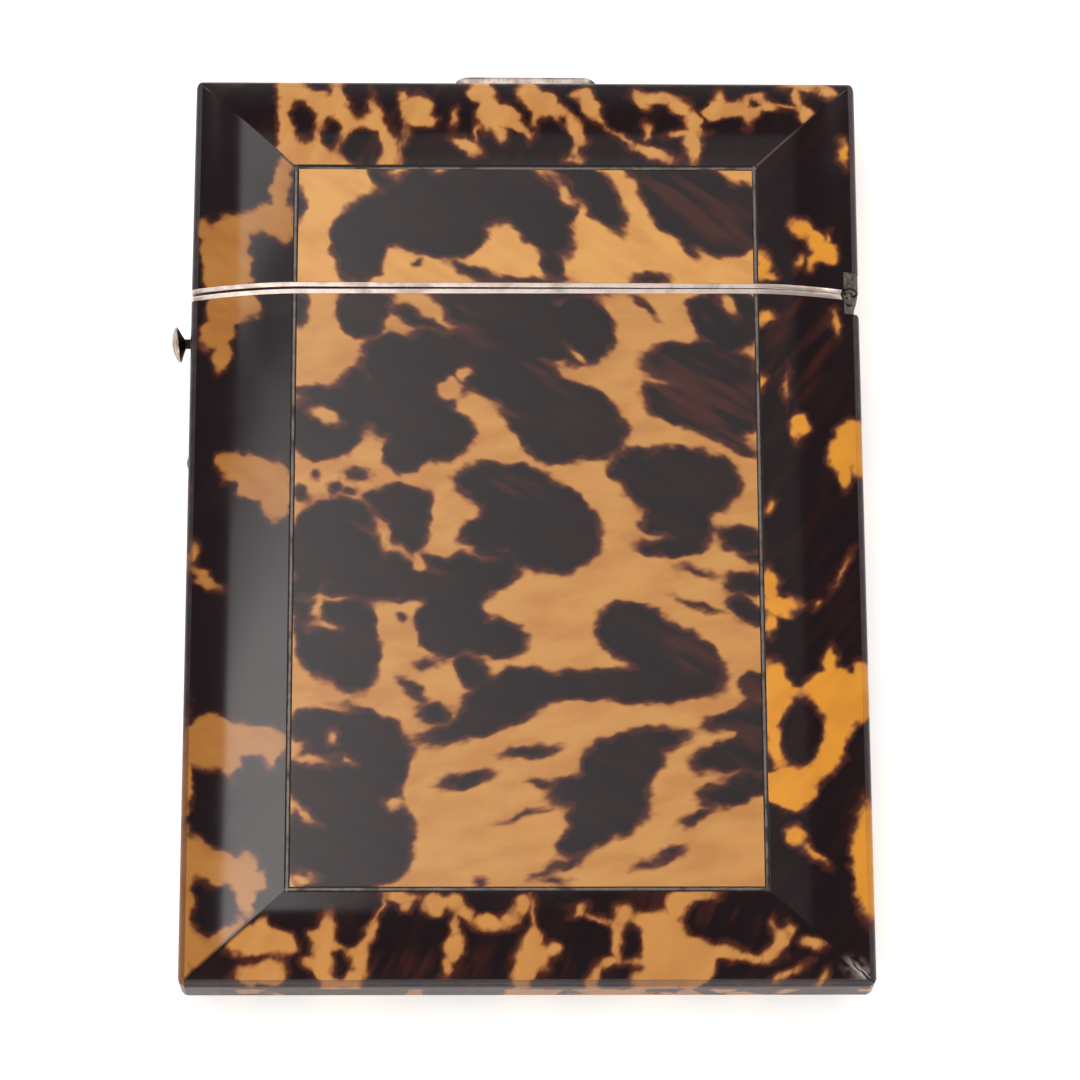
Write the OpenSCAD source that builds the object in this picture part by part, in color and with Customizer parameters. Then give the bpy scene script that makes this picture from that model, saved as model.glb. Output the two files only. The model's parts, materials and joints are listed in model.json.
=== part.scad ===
// Visiting card case of tortoiseshell on a thin wooden carcass, lying on its back.
// x runs across the front with the hinge at +x, y runs up to the lid, z comes out of the front.
// The origin is the middle of the flat back panel.

/* [Case] */
// Width across the front, without the button
case_w = 75; // [70:0.5:84]
// Height with the lid shut
case_h = 104.6; // [99:0.2:116]
// Thickness at the flat panels
case_t = 10.3; // [10.2:0.1:13]
// Height of the lid above the seam
lid_h = 25.9; // [21:0.1:34]
// How far each face falls from its panel to the edge
border_fall = 2.7; // [1.8:0.1:2.8]
// Angle at which a border leaves the panel
border_crease = 3; // [1:0.5:5]
// Width of the side borders
border_side = 11.7; // [9:0.1:14]
// Width of the top border
border_top = 11.5; // [9:0.1:14]
// Width of the bottom border
border_bottom = 10.1; // [9:0.1:14]
// Length eased off each upright corner
corner_ease = 0.9; // [0.4:0.1:1.4]
// Length eased off each long edge
edge_ease = 0.35; // [0.2:0.05:0.6]

/* [Shell and carcass] */
// Thickness of the tortoiseshell on both faces
shell_t = 0.55; // [0.4:0.05:0.8]
// Thickness of the tortoiseshell strips round the edge
strip_t = 0.7; // [0.5:0.05:0.9]
// Thickness of the front and back boards under the panels
board_t = 2.05; // [1.95:0.05:2.4]
// Thickness of the side boards
wall_t = 1.7; // [1.6:0.1:2.2]
// Thickness of the bottom board and the top board
end_t = 2; // [1.5:0.1:3]
// Width of the stringing line round the panels
stringing_w = 0.55; // [0.3:0.05:0.9]

/* [Rims and lining] */
// Thickness of each white metal rim
rim_t = 0.55; // [0.3:0.05:0.7]
// Gap between the two rims when the lid is pressed shut
seam_gap = 0.06; // [0.04:0.02:0.2]
// How far the lid stands open on the play of its catch, in degrees
lid_ajar = 0.2; // [0:0.05:0.4]
// Thickness of the silk covered liner boards
liner_t = 0.4; // [0.3:0.05:0.5]
// How far the liner stands above the seam as a tongue
tongue_h = 2.8; // [2.7:0.1:4]
// Clearance round the tongue inside the lid
tongue_play = 0.12; // [0.08:0.02:0.2]
// Thickness of the silk pads inside the lid
silk_t = 0.3; // [0.2:0.05:0.4]

/* [Hinge] */
// Distance of the hinge axis from the case's side
hinge_in = 1.05; // [1.02:0.01:1.1]
// Radius of the knuckles
knuckle_r = 0.9; // [0.8:0.05:0.95]
// Radius of the hinge pin
pin_r = 0.35; // [0.25:0.05:0.4]
// Running clearance of the pin in the lid's knuckle
pin_play = 0.04; // [0.02:0.01:0.08]
// Depth of the hinge pocket into the case
pocket_in = 1.75; // [1.7:0.05:1.8]
// Length of the hinge pocket below the seam
pocket_low = 2.2; // [2:0.1:3.2]
// Length of the hinge pocket above the seam
pocket_high = 2.8; // [1.7:0.1:3.2]
// Thickness of the leaf ends let in under the strips
leaf_t = 0.35; // [0.25:0.05:0.45]
// Length of the leaf ends under the strips
leaf_tail = 3.8; // [3:0.1:5]

/* [Button and catch] */
// Distance of the button's axis below the seam
button_drop = 4.8; // [4:0.1:6]
// How far the button travels when pressed
button_stroke = 0.55; // [0.4:0.05:0.55]
// Radius of the button's head
button_r = 2; // [1.5:0.1:2.2]
// Height of the domed face of the head
button_dome = 0.95; // [0.6:0.05:1.1]
// Radius of the head's rounded edge
button_edge = 0.25; // [0.15:0.05:0.35]
// Length of the cone behind the head
button_cone = 0.5; // [0.4:0.05:0.9]
// Radius of the button's stem
stem_r = 0.55; // [0.45:0.05:0.65]
// Lean of the bent head, in degrees
button_lean = 7; // [0:1:8]
// Clearance of the stem in its bush
stem_play = 0.05; // [0.03:0.01:0.08]
// Distance of the catch spring's rivet below the seam
rivet_drop = 18.9; // [17:0.1:22]
// Radius of the rivet's head
rivet_head_r = 0.95; // [0.7:0.05:1.2]
// Width of the catch spring
spring_w = 2.7; // [2.4:0.1:2.9]
// Thickness of the catch spring
spring_t = 0.35; // [0.3:0.05:0.4]
// Distance of the catch spring from the side board
spring_out = 1.2; // [1.1:0.05:1.3]
// Room for the catch spring between the board and the liner
catch_room = 2.6; // [2.5:0.05:3]
// How far the tooth reaches over the keeper
tooth_bite = 0.5; // [0.4:0.05:0.55]
// Height of the tooth
tooth_h = 0.95; // [0.8:0.05:1]
// Thickness of the keeper
keeper_t = 0.45; // [0.35:0.05:0.5]

/* [Top plate] */
// Length of the bare plate on the top of the lid
plate_w = 16.2; // [10:0.1:24]
// Width of that plate through the case's thickness
plate_d = 3.6; // [2.6:0.1:4.4]
// Thickness of that plate
plate_t = 1; // [0.8:0.05:1.6]

/* [Hidden] */

$fn = 96;
easing_steps = 3;

// Colours
shell_dark = [0.23, 0.16, 0.13];
shell_amber = [0.80, 0.56, 0.30];
wood = [0.66, 0.52, 0.36];
white_metal = [0.82, 0.77, 0.72];
dark_metal = [0.30, 0.28, 0.27];
steel = [0.52, 0.54, 0.57];
brass = [0.74, 0.60, 0.32];
tarnish = [0.38, 0.36, 0.35];
silk = [0.47, 0.13, 0.16];

// Outer planes
side_x = case_w / 2;
end_y = case_h / 2;
mid_z = case_t / 2;
edge_z = case_t - border_fall;
seam_y = end_y - lid_h;

// Planes of the body and of the lid next to the seam, with the rims between them and the boards
body_top = seam_y - seam_gap / 2;
lid_low = seam_y + seam_gap / 2;
body_wood_top = body_top - rim_t;
lid_wood_low = lid_low + rim_t;

// Inside of the carcass
wood_x = side_x - strip_t;
wood_y = end_y - strip_t;
wall_x = wood_x - wall_t;
room_y = wood_y - end_t;
room_z = case_t - shell_t - board_t;
back_z = case_t - room_z;
lid_wall_x = wall_x + tongue_play;
lid_room_z = room_z + tongue_play;
lid_back_z = case_t - lid_room_z;

// Inside of the liner
liner_x = wall_x - catch_room;
card_left = liner_x - liner_t;
card_right = wall_x - liner_t;
tongue_y = seam_y + tongue_h;

// Panels inside their stringing
panel_x = side_x - border_side;
panel_top = end_y - border_top;
panel_low = -end_y + border_bottom;
half_line = stringing_w / 2;

// Hinge
hinge_x = side_x - hinge_in;
hinge_len = edge_z - border_fall;
knuckle_gap = 0.05;
lid_knuckle = hinge_len * 0.36;
wing_play = 0.05;
wing_body_out = 0.6;
wing_lid_out = 0.08;
wing_face_in = 0.08;
wing_sweep_r = knuckle_r + 0.4;
wing_sweep_in = 0.35;
wing_clear_r = knuckle_r + 0.12;
pocket_x = side_x - pocket_in;
pocket_r = knuckle_r + 0.1;
leaf_w = 3.8;
hinge_rivet_r = 0.3;
hinge_rivet_len = 0.9;
hinge_rivet_z = 1.1;

// Button, counted inward from the case's left side
button_y = seam_y - button_drop;
bush_r = stem_r + 0.25;
bush_flange_r = bush_r + 0.1;
bush_proud = 0.15;
bush_play = 0.02;
stem_out = bush_proud + button_stroke + 0.08;
stem_gap = 0.03;
washer_r = 1;
washer_t = 0.35;

// Catch spring, with its bend line at the top of the riveted foot
board_in = strip_t + wall_t;
rivet_y = seam_y - rivet_drop;
foot_half = 2;
bend_y = rivet_y + foot_half;
arm_in = board_in + spring_out;
crank_rise = 2.4;
rivet_shank_r = 0.5;
rivet_dome = 0.3;

// Keeper on the lid, and the tooth above it with room for the lid to stand ajar
keeper_in = board_in - tongue_play;
keeper_leg = 6.2;
keeper_leg_t = 0.35;
keeper_w = spring_w + 1.8;
keeper_reach = arm_in - 0.25;
keeper_y = lid_wood_low + 0.1;
ajar_rise = (2 * side_x - hinge_in - keeper_reach) * sin(lid_ajar);
tooth_y = keeper_y + keeper_t + ajar_rise + 0.05;
tooth_in = keeper_reach - tooth_bite;
arm_top = tooth_y + tooth_h;
keeper_pin_r = 0.35;
keeper_pin_z = 1.6;

// Radius of a border's arc, and the height to which its centre drops below the panel
function chord_angle(b) = atan(border_fall / b);
function bow_r(b) = norm([b, border_fall]) / (2 * sin(chord_angle(b) - border_crease));
function bow_in(b) = bow_r(b) * sin(border_crease);
function bow_down(b) = bow_r(b) * cos(border_crease);
// Fall of a border's surface at distance s outside the panel
function fall_at(b, s) = sqrt(pow(bow_r(b), 2) - pow(s + bow_in(b), 2)) - bow_down(b);

// Point on the arc round a centre, part t of the way from a to b
function arc_point(centre, a, b, t) =
  let (
    va = a - centre,
    vb = b - centre,
    turn = acos(va * vb / (norm(va) * norm(vb)))
  )
  centre + (sin((1 - t) * turn) * va + sin(t * turn) * vb) / sin(turn);

// What an easing takes off a corner: all that lies outside a short arc of radius r through a and b
module easing(a, b, corner, r) {
  mid = (a + b) / 2;
  out = (corner - mid) / norm(corner - mid);
  reach = 3 * norm(corner - mid);
  chord = b - a;
  turn = [chord[1], -chord[0]] / norm(chord);
  normal = turn * out > 0 ? turn : -turn;
  centre = mid - normal * sqrt(r * r - pow(norm(chord) / 2, 2));
  points = [for (i = [0:easing_steps]) arc_point(centre, a, b, i / easing_steps)];
  // The first and last facets run on past the faces they cut
  start = 2 * points[0] - points[1];
  end = 2 * points[easing_steps] - points[easing_steps - 1];
  polygon(concat([start + out * reach, start], points, [end, end + out * reach]));
}

// What a border's bow takes off the right front corner of a section
module bow_cut(half, b, inset) {
  difference() {
    translate([half - b - 2, mid_z]) square([b + 4, case_t]);
    translate([half - b - bow_in(b), case_t - bow_down(b)]) circle(r = bow_r(b) - inset, $fn = 720);
  }
}

// What the easing takes off the same corner
module edge_cut(half, b) {
  a = [half - edge_ease, case_t + fall_at(b, b - edge_ease)];
  edge = [half, edge_z];
  easing(a, edge - [0, edge_ease], edge, edge_ease * 2);
}

// Section of the case: length along x from -half to half, thickness along y
module section(half, b_low, b_high, inset = 0, side = 0, eased = true) {
  difference() {
    translate([-half + side, inset]) square([2 * (half - side), case_t - 2 * inset]);
    for (back = [0, 1]) translate([0, back * case_t]) mirror([0, back, 0]) {
      bow_cut(half, b_high, inset);
      mirror([1, 0, 0]) bow_cut(half, b_low, inset);
      if (eased) {
        edge_cut(half, b_high);
        mirror([1, 0, 0]) edge_cut(half, b_low);
      }
    }
  }
}

// Section across the width, laid in x and z and run along y
module run_y(y0, y1) {
  translate([0, y1, 0]) rotate([90, 0, 0]) linear_extrude(height = y1 - y0) children();
}

// Section along the height, laid in y and z and run along x
module run_x(x0, x1) {
  translate([x0, 0, 0]) rotate([90, 0, 90]) linear_extrude(height = x1 - x0) children();
}

// A block between two corners
module block(low, high) {
  translate(low) cube(high - low);
}

// Outline of the case seen from the front, with eased corners
module plan() {
  difference() {
    translate([-side_x, -end_y]) square([case_w, case_h]);
    for (mx = [0, 1], my = [0, 1]) mirror([mx, 0, 0]) mirror([0, my, 0])
      easing([side_x - corner_ease, end_y], [side_x, end_y - corner_ease], [side_x, end_y], corner_ease * 1.25);
  }
}

// The whole outer form
module outer_form() {
  intersection() {
    run_y(-end_y - 1, end_y + 1) section(side_x, border_side, border_side);
    run_x(-side_x - 1, side_x + 1) section(end_y, border_bottom, border_top);
    translate([0, 0, -1]) linear_extrude(height = case_t + 2) plan();
  }
}

// The form of the carcass under the shell
module carcass_form() {
  intersection() {
    run_y(-wood_y, wood_y) section(side_x, border_side, border_side, shell_t, strip_t, false);
    run_x(-wood_x, wood_x) section(end_y, border_bottom, border_top, shell_t, strip_t, false);
  }
}

// Puts a piece of the lid where the play of the catch leaves it
module lid_pose() {
  translate([hinge_x, seam_y, 0]) rotate([0, 0, -lid_ajar]) translate([-hinge_x, -seam_y, 0]) children();
}

// Turns a piece of the front face over to the back
module to_back() {
  translate([0, 0, case_t]) mirror([0, 0, 1]) children();
}

// Pocket for the hinge, open to the side and to both faces
module hinge_pocket() {
  block([pocket_x, seam_y - pocket_low, -1], [side_x + 1, seam_y + pocket_high, case_t + 1]);
  axis_clear(pocket_r);
}

// A cylinder along x at height y above the case's middle line
module across(r, x0, x1, y, z = mid_z) {
  translate([x0, y, z]) rotate([0, 90, 0]) cylinder(r = r, h = x1 - x0);
}

// Carcass
module face_board(y0, y1, z0) {
  intersection() {
    carcass_form();
    block([-side_x, y0, z0], [side_x, y1, case_t]);
  }
}

module side_board(y0, y1, inner, z0) {
  intersection() {
    carcass_form();
    block([inner, y0, z0], [side_x, y1, case_t - z0]);
  }
}

module end_board(y0, y1, inner, z0) {
  intersection() {
    carcass_form();
    block([-inner, y0, z0], [inner, y1, case_t - z0]);
  }
}

module body_front_board() {
  color(wood) difference() {
    face_board(-end_y, body_wood_top, room_z);
    hinge_pocket();
  }
}

module body_back_board() {
  color(wood) difference() {
    to_back() face_board(-end_y, body_wood_top, room_z);
    hinge_pocket();
  }
}

module body_left_board() {
  color(wood) difference() {
    mirror([1, 0, 0]) side_board(-end_y, body_wood_top, wall_x, back_z);
    across(bush_r + bush_play, -side_x, -wall_x + 1, button_y);
    across(rivet_shank_r, -side_x, -wall_x + 1, rivet_y);
  }
}

module body_right_board() {
  color(wood) difference() {
    side_board(-end_y, body_wood_top, wall_x, back_z);
    hinge_pocket();
    leaf_seat(seam_y - pocket_low - leaf_tail, seam_y - pocket_low);
    hinge_rivet_pair(seam_y - pocket_low - leaf_tail / 2);
  }
}

module body_bottom_board() {
  color(wood) end_board(-end_y, -room_y, wall_x, back_z);
}

module lid_front_board() {
  color(wood) lid_pose() difference() {
    face_board(lid_wood_low, end_y, lid_room_z);
    hinge_pocket();
  }
}

module lid_back_board() {
  color(wood) lid_pose() difference() {
    to_back() face_board(lid_wood_low, end_y, lid_room_z);
    hinge_pocket();
  }
}

module lid_left_board() {
  color(wood) lid_pose() difference() {
    mirror([1, 0, 0]) side_board(lid_wood_low, end_y, lid_wall_x, lid_back_z);
    keeper_pin_pair();
  }
}

module lid_right_board() {
  color(wood) lid_pose() difference() {
    side_board(lid_wood_low, end_y, lid_wall_x, lid_back_z);
    hinge_pocket();
    leaf_seat(seam_y + pocket_high, seam_y + pocket_high + leaf_tail);
    hinge_rivet_pair(seam_y + pocket_high + leaf_tail / 2);
  }
}

module lid_top_board() {
  color(wood) lid_pose() end_board(room_y, end_y, lid_wall_x, lid_back_z);
}

// Tortoiseshell on the faces
module panel(y0, y1) {
  block([-panel_x + half_line, y0, case_t - shell_t], [panel_x - half_line, y1, case_t]);
}

// Plan of the right border between its mitres
module side_plan() {
  intersection() {
    polygon([[side_x, -end_y], [side_x, end_y], [panel_x, panel_top], [panel_x, panel_low]]);
    translate([panel_x + half_line, -end_y]) square([wood_x - panel_x - half_line, case_h]);
  }
}

module side_border(y0, y1) {
  intersection() {
    run_y(y0, y1) difference() {
      section(side_x, border_side, border_side, 0, strip_t);
      section(side_x, border_side, border_side, shell_t, 0, false);
    }
    translate([0, 0, mid_z]) linear_extrude(height = case_t) side_plan();
  }
}

// Plan of the top border or the bottom border between its mitres
module end_plan(up, b) {
  mirror([0, up > 0 ? 0 : 1, 0]) intersection() {
    polygon([[-side_x, end_y], [side_x, end_y], [panel_x, end_y - b], [-panel_x, end_y - b]]);
    translate([-wood_x, end_y - b + half_line]) square([2 * wood_x, b - half_line - strip_t]);
  }
}

module end_border(up, b) {
  intersection() {
    run_x(-side_x, side_x) difference() {
      section(end_y, border_bottom, border_top, 0, strip_t);
      section(end_y, border_bottom, border_top, shell_t, 0, false);
    }
    translate([0, 0, mid_z]) linear_extrude(height = case_t) end_plan(up, b);
  }
}

module body_side_border(right) {
  mirror([right ? 0 : 1, 0, 0]) side_border(-end_y, body_wood_top);
}

module lid_side_border(right) {
  mirror([right ? 0 : 1, 0, 0]) side_border(lid_wood_low, end_y);
}

module body_front_panel() {
  color(shell_amber) panel(panel_low + half_line, body_wood_top);
}

module body_front_left() {
  color(shell_dark) body_side_border(false);
}

module body_front_right() {
  color(shell_dark) difference() {
    body_side_border(true);
    hinge_pocket();
  }
}

module body_front_bottom() {
  color(shell_dark) end_border(-1, border_bottom);
}

module body_back_panel() {
  color(shell_amber) to_back() panel(panel_low + half_line, body_wood_top);
}

module body_back_left() {
  color(shell_dark) to_back() body_side_border(false);
}

module body_back_right() {
  color(shell_dark) difference() {
    to_back() body_side_border(true);
    hinge_pocket();
  }
}

module body_back_bottom() {
  color(shell_dark) to_back() end_border(-1, border_bottom);
}

module lid_front_panel() {
  color(shell_amber) lid_pose() panel(lid_wood_low, panel_top - half_line);
}

module lid_front_left() {
  color(shell_dark) lid_pose() lid_side_border(false);
}

module lid_front_right() {
  color(shell_dark) lid_pose() difference() {
    lid_side_border(true);
    hinge_pocket();
  }
}

module lid_front_top() {
  color(shell_dark) lid_pose() end_border(1, border_top);
}

module lid_back_panel() {
  color(shell_amber) lid_pose() to_back() panel(lid_wood_low, panel_top - half_line);
}

module lid_back_left() {
  color(shell_dark) lid_pose() to_back() lid_side_border(false);
}

module lid_back_right() {
  color(shell_dark) lid_pose() difference() {
    to_back() lid_side_border(true);
    hinge_pocket();
  }
}

module lid_back_top() {
  color(shell_dark) lid_pose() to_back() end_border(1, border_top);
}

// Tortoiseshell round the edge
module side_strip(y0, y1) {
  intersection() {
    outer_form();
    block([wood_x, y0, -1], [side_x + 1, y1, case_t + 1]);
  }
}

module end_strip(y0, y1) {
  intersection() {
    outer_form();
    block([-wood_x, y0, -1], [wood_x, y1, case_t + 1]);
  }
}

module body_left_strip() {
  color(shell_dark) difference() {
    mirror([1, 0, 0]) side_strip(-end_y, body_wood_top);
    across(bush_r + bush_play, -side_x - 1, -wood_x + 1, button_y);
    across(rivet_shank_r, -side_x - 1, -wood_x + 1, rivet_y);
  }
}

// The strip stops under the hinge with its top corner eased
module body_right_strip() {
  top = seam_y - pocket_low;
  color(shell_dark) difference() {
    side_strip(-end_y, top);
    translate([0, 0, -1]) linear_extrude(height = case_t + 2)
      easing([side_x - edge_ease, top], [side_x, top - edge_ease], [side_x, top], edge_ease * 1.25);
  }
}

module body_bottom_strip() {
  color(shell_dark) end_strip(-end_y, -wood_y);
}

module lid_left_strip() {
  color(shell_dark) lid_pose() mirror([1, 0, 0]) side_strip(lid_wood_low, end_y);
}

module lid_right_strip() {
  color(shell_dark) lid_pose() side_strip(seam_y + pocket_high, end_y);
}

module lid_top_strip() {
  color(shell_dark) lid_pose() end_strip(wood_y, end_y);
}

// Stringing round the panels
module upright_lines(y0, y1) {
  for (m = [0, 1]) mirror([m, 0, 0])
    block([panel_x - half_line, y0, case_t - shell_t], [panel_x + half_line, y1, case_t]);
}

module cross_line(y) {
  block([-panel_x - half_line, y - half_line, case_t - shell_t], [panel_x + half_line, y + half_line, case_t]);
}

module body_lines() {
  union() {
    upright_lines(panel_low - half_line, body_wood_top);
    cross_line(panel_low);
  }
}

module lid_lines() {
  union() {
    upright_lines(lid_wood_low, panel_top + half_line);
    cross_line(panel_top);
  }
}

module body_front_stringing() {
  color(tarnish) body_lines();
}

module body_back_stringing() {
  color(tarnish) to_back() body_lines();
}

module lid_front_stringing() {
  color(tarnish) lid_pose() lid_lines();
}

module lid_back_stringing() {
  color(tarnish) lid_pose() to_back() lid_lines();
}

// White metal rims on both sides of the seam
module body_rim() {
  color(white_metal) difference() {
    run_y(body_wood_top, body_top) section(side_x, border_side, border_side);
    block([-liner_x, body_wood_top - 1, back_z], [wall_x, body_top + 1, room_z]);
    block([-side_x + tooth_in - 0.1, body_wood_top - 1, mid_z - spring_w / 2 - 0.2],
      [-liner_x + 1, body_top + 1, mid_z + spring_w / 2 + 0.2]);
    hinge_pocket();
  }
}

module lid_rim() {
  color(white_metal) lid_pose() difference() {
    run_y(lid_low, lid_wood_low) section(side_x, border_side, border_side);
    block([-lid_wall_x, lid_low - 1, lid_back_z], [lid_wall_x, lid_wood_low + 1, lid_room_z]);
    hinge_pocket();
  }
}

// Silk covered liner, standing above the seam as a tongue
module liner_face(z0) {
  block([-liner_x, -room_y, z0], [wall_x, tongue_y, z0 + liner_t]);
}

module liner_front() {
  color(silk) liner_face(room_z - liner_t);
}

module liner_back() {
  color(silk) liner_face(back_z);
}

module liner_side(x0) {
  block([x0, -room_y, back_z + liner_t], [x0 + liner_t, tongue_y, room_z - liner_t]);
}

module liner_left() {
  color(silk) liner_side(-liner_x);
}

module liner_right() {
  color(silk) liner_side(card_right);
}

module liner_bottom() {
  color(silk) block([-card_left, -room_y, back_z + liner_t], [card_right, -room_y + liner_t, room_z - liner_t]);
}

module lid_lining(z0) {
  block([-lid_wall_x + 0.5, tongue_y + 0.4, z0], [lid_wall_x - 0.5, room_y, z0 + silk_t]);
}

module lid_front_lining() {
  color(silk) lid_pose() lid_lining(lid_room_z - silk_t);
}

module lid_back_lining() {
  color(silk) lid_pose() lid_lining(lid_back_z);
}

// Hinge: knuckles on one pin, wings that fill the pocket and thin tails under the strips
module knuckle(z0, z1, bore) {
  translate([hinge_x, seam_y, z0]) difference() {
    cylinder(r = knuckle_r, h = z1 - z0);
    translate([0, 0, -1]) cylinder(r = bore, h = z1 - z0 + 2);
  }
}

module axis_clear(r, z0 = -1, z1 = case_t + 1) {
  translate([hinge_x, seam_y, z0]) cylinder(r = r, h = z1 - z0);
}

// A wing of the hinge, flush with the case's faces
module wing(y0, y1, out) {
  intersection() {
    run_y(y0, y1) section(side_x, border_side, border_side, wing_face_in, out, false);
    block([pocket_x + wing_play, y0, -1], [side_x, y1, case_t + 1]);
  }
}

module leaf_seat(y0, y1) {
  block([wood_x - leaf_t, y0, mid_z - leaf_w / 2], [wood_x + 1, y1, mid_z + leaf_w / 2]);
}

module leaf_tail_piece(y0, y1) {
  intersection() {
    leaf_seat(y0, y1);
    block([0, y0, 0], [wood_x, y1, case_t]);
  }
}

module hinge_rivet_pair(y) {
  for (dz = [-1, 1]) across(hinge_rivet_r, wood_x - leaf_t - hinge_rivet_len, wood_x, y, mid_z + dz * hinge_rivet_z);
}

module hinge_body_leaf() {
  lid_z0 = mid_z - lid_knuckle / 2;
  lid_z1 = mid_z + lid_knuckle / 2;
  color(dark_metal) difference() {
    union() {
      difference() {
        union() {
          wing(seam_y - pocket_low, seam_y - wing_play, wing_body_out);
          leaf_tail_piece(seam_y - pocket_low - leaf_tail, seam_y - pocket_low);
        }
        // Room for the lid's wing to swing past
        intersection() {
          axis_clear(wing_sweep_r);
          block([hinge_x - wing_sweep_in, seam_y - pocket_low, -1], [side_x, seam_y, case_t + 1]);
        }
        axis_clear(wing_sweep_r, lid_z0 - knuckle_gap, lid_z1 + knuckle_gap);
      }
      knuckle(border_fall, lid_z0 - knuckle_gap, pin_r);
      knuckle(lid_z1 + knuckle_gap, edge_z, pin_r);
    }
    axis_clear(pin_r);
    hinge_rivet_pair(seam_y - pocket_low - leaf_tail / 2);
  }
}

module hinge_lid_leaf() {
  lid_z0 = mid_z - lid_knuckle / 2;
  lid_z1 = mid_z + lid_knuckle / 2;
  color(dark_metal) lid_pose() difference() {
    union() {
      difference() {
        union() {
          wing(seam_y + wing_play, seam_y + pocket_high, wing_lid_out);
          leaf_tail_piece(seam_y + pocket_high, seam_y + pocket_high + leaf_tail);
        }
        axis_clear(wing_clear_r, -1, lid_z0);
        axis_clear(wing_clear_r, lid_z1, case_t + 1);
      }
      knuckle(lid_z0, lid_z1, pin_r + pin_play);
    }
    axis_clear(pin_r + pin_play);
    hinge_rivet_pair(seam_y + pocket_high + leaf_tail / 2);
  }
}

module hinge_pin() {
  color(steel) translate([hinge_x, seam_y, border_fall]) cylinder(r = pin_r, h = hinge_len);
}

module hinge_body_rivets() {
  color(brass) hinge_rivet_pair(seam_y - pocket_low - leaf_tail / 2);
}

module hinge_lid_rivets() {
  color(brass) lid_pose() hinge_rivet_pair(seam_y + pocket_high + leaf_tail / 2);
}

// Half outline of the turned head, from its shoulder over the rounded edge to the top of the dome
module button_outline() {
  edge = [button_r - button_edge, button_cone + button_edge];
  rise = button_dome - button_edge;
  dome_r = (pow(edge[0], 2) + pow(rise, 2) - pow(button_edge, 2)) / (2 * (rise - button_edge));
  top = [0, button_cone + button_dome];
  centre = top - [0, dome_r];
  meet = centre + (edge - centre) * dome_r / norm(edge - centre);
  back = edge + button_edge * [sin(125), cos(125)];
  shoulder = [stem_r + 0.08, 0];
  flare = [stem_r + 0.35, 0.15];
  polygon(concat(
    [[0, 0], shoulder, flare],
    [for (i = [0:4]) arc_point(edge, back, meet, i / 4)],
    [for (i = [1:6]) arc_point(centre, meet, top, i / 6)]
  ));
}

// Button: domed head, flared neck and stem in a flanged bush, held from inside by a washer
module push_button() {
  color(dark_metal) union() {
    translate([-side_x - stem_out, button_y, mid_z]) rotate([0, 0, button_lean]) rotate([0, -90, 0])
      rotate_extrude() button_outline();
    across(stem_r, -side_x - stem_out - button_cone, -side_x + arm_in - stem_gap, button_y);
  }
}

module button_washer() {
  color(steel) difference() {
    across(washer_r, -wall_x, -wall_x + washer_t, button_y);
    across(stem_r, -wall_x - 1, -wall_x + washer_t + 1, button_y);
  }
}

module button_bush() {
  color(dark_metal) difference() {
    union() {
      across(bush_r, -side_x - bush_proud, -wall_x, button_y);
      across(bush_flange_r, -side_x - bush_proud, -side_x, button_y);
    }
    across(stem_r + stem_play, -side_x - 1, -wall_x + 1, button_y);
  }
}

// Catch spring: a foot riveted to the side board, and the arm that bends from the foot's top
module catch_foot() {
  color(steel) difference() {
    block([-wall_x, rivet_y - foot_half, mid_z - spring_w / 2], [-wall_x + spring_t, bend_y, mid_z + spring_w / 2]);
    across(rivet_shank_r, -wall_x - 1, -wall_x + 2, rivet_y);
  }
}

module catch_rivet() {
  dome_r = (rivet_head_r * rivet_head_r + rivet_dome * rivet_dome) / (2 * rivet_dome);
  color(dark_metal) union() {
    translate([-side_x, rivet_y, mid_z]) rotate([0, -90, 0]) intersection() {
      translate([0, 0, rivet_dome - dome_r]) sphere(r = dome_r);
      cylinder(r = rivet_head_r, h = rivet_dome + 1);
    }
    across(rivet_shank_r, -side_x, -wall_x + spring_t + 0.3, rivet_y);
    across(rivet_head_r * 0.9, -wall_x + spring_t, -wall_x + spring_t + 0.3, rivet_y);
  }
}

module catch_arm() {
  out = -side_x + arm_in;
  inn = out + spring_t;
  tip = -side_x + tooth_in;
  color(steel) translate([0, 0, mid_z - spring_w / 2]) linear_extrude(height = spring_w) polygon([
    [-wall_x, bend_y],
    [-wall_x + spring_t, bend_y],
    [inn, bend_y + crank_rise],
    [inn, arm_top],
    [out, arm_top],
    [tip, tooth_y + 0.25],
    [tip, tooth_y],
    [out, tooth_y],
    [out, bend_y + crank_rise]
  ]);
}

// Keeper inside the lid, under the tooth
module keeper_pin_pair() {
  for (dz = [-1, 1]) across(keeper_pin_r, -lid_wall_x - 1, -lid_wall_x + keeper_leg_t,
    keeper_y + keeper_leg - 1.6, mid_z + dz * keeper_pin_z);
}

module keeper() {
  face = -side_x + keeper_in;
  color(brass) lid_pose() difference() {
    union() {
      block([face, keeper_y, mid_z - keeper_w / 2], [face + keeper_leg_t, keeper_y + keeper_leg, mid_z + keeper_w / 2]);
      block([face, keeper_y, mid_z - keeper_w / 2],
        [-side_x + keeper_reach, keeper_y + keeper_t, mid_z + keeper_w / 2]);
    }
    keeper_pin_pair();
  }
}

module keeper_pins() {
  color(steel) lid_pose() keeper_pin_pair();
}

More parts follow.
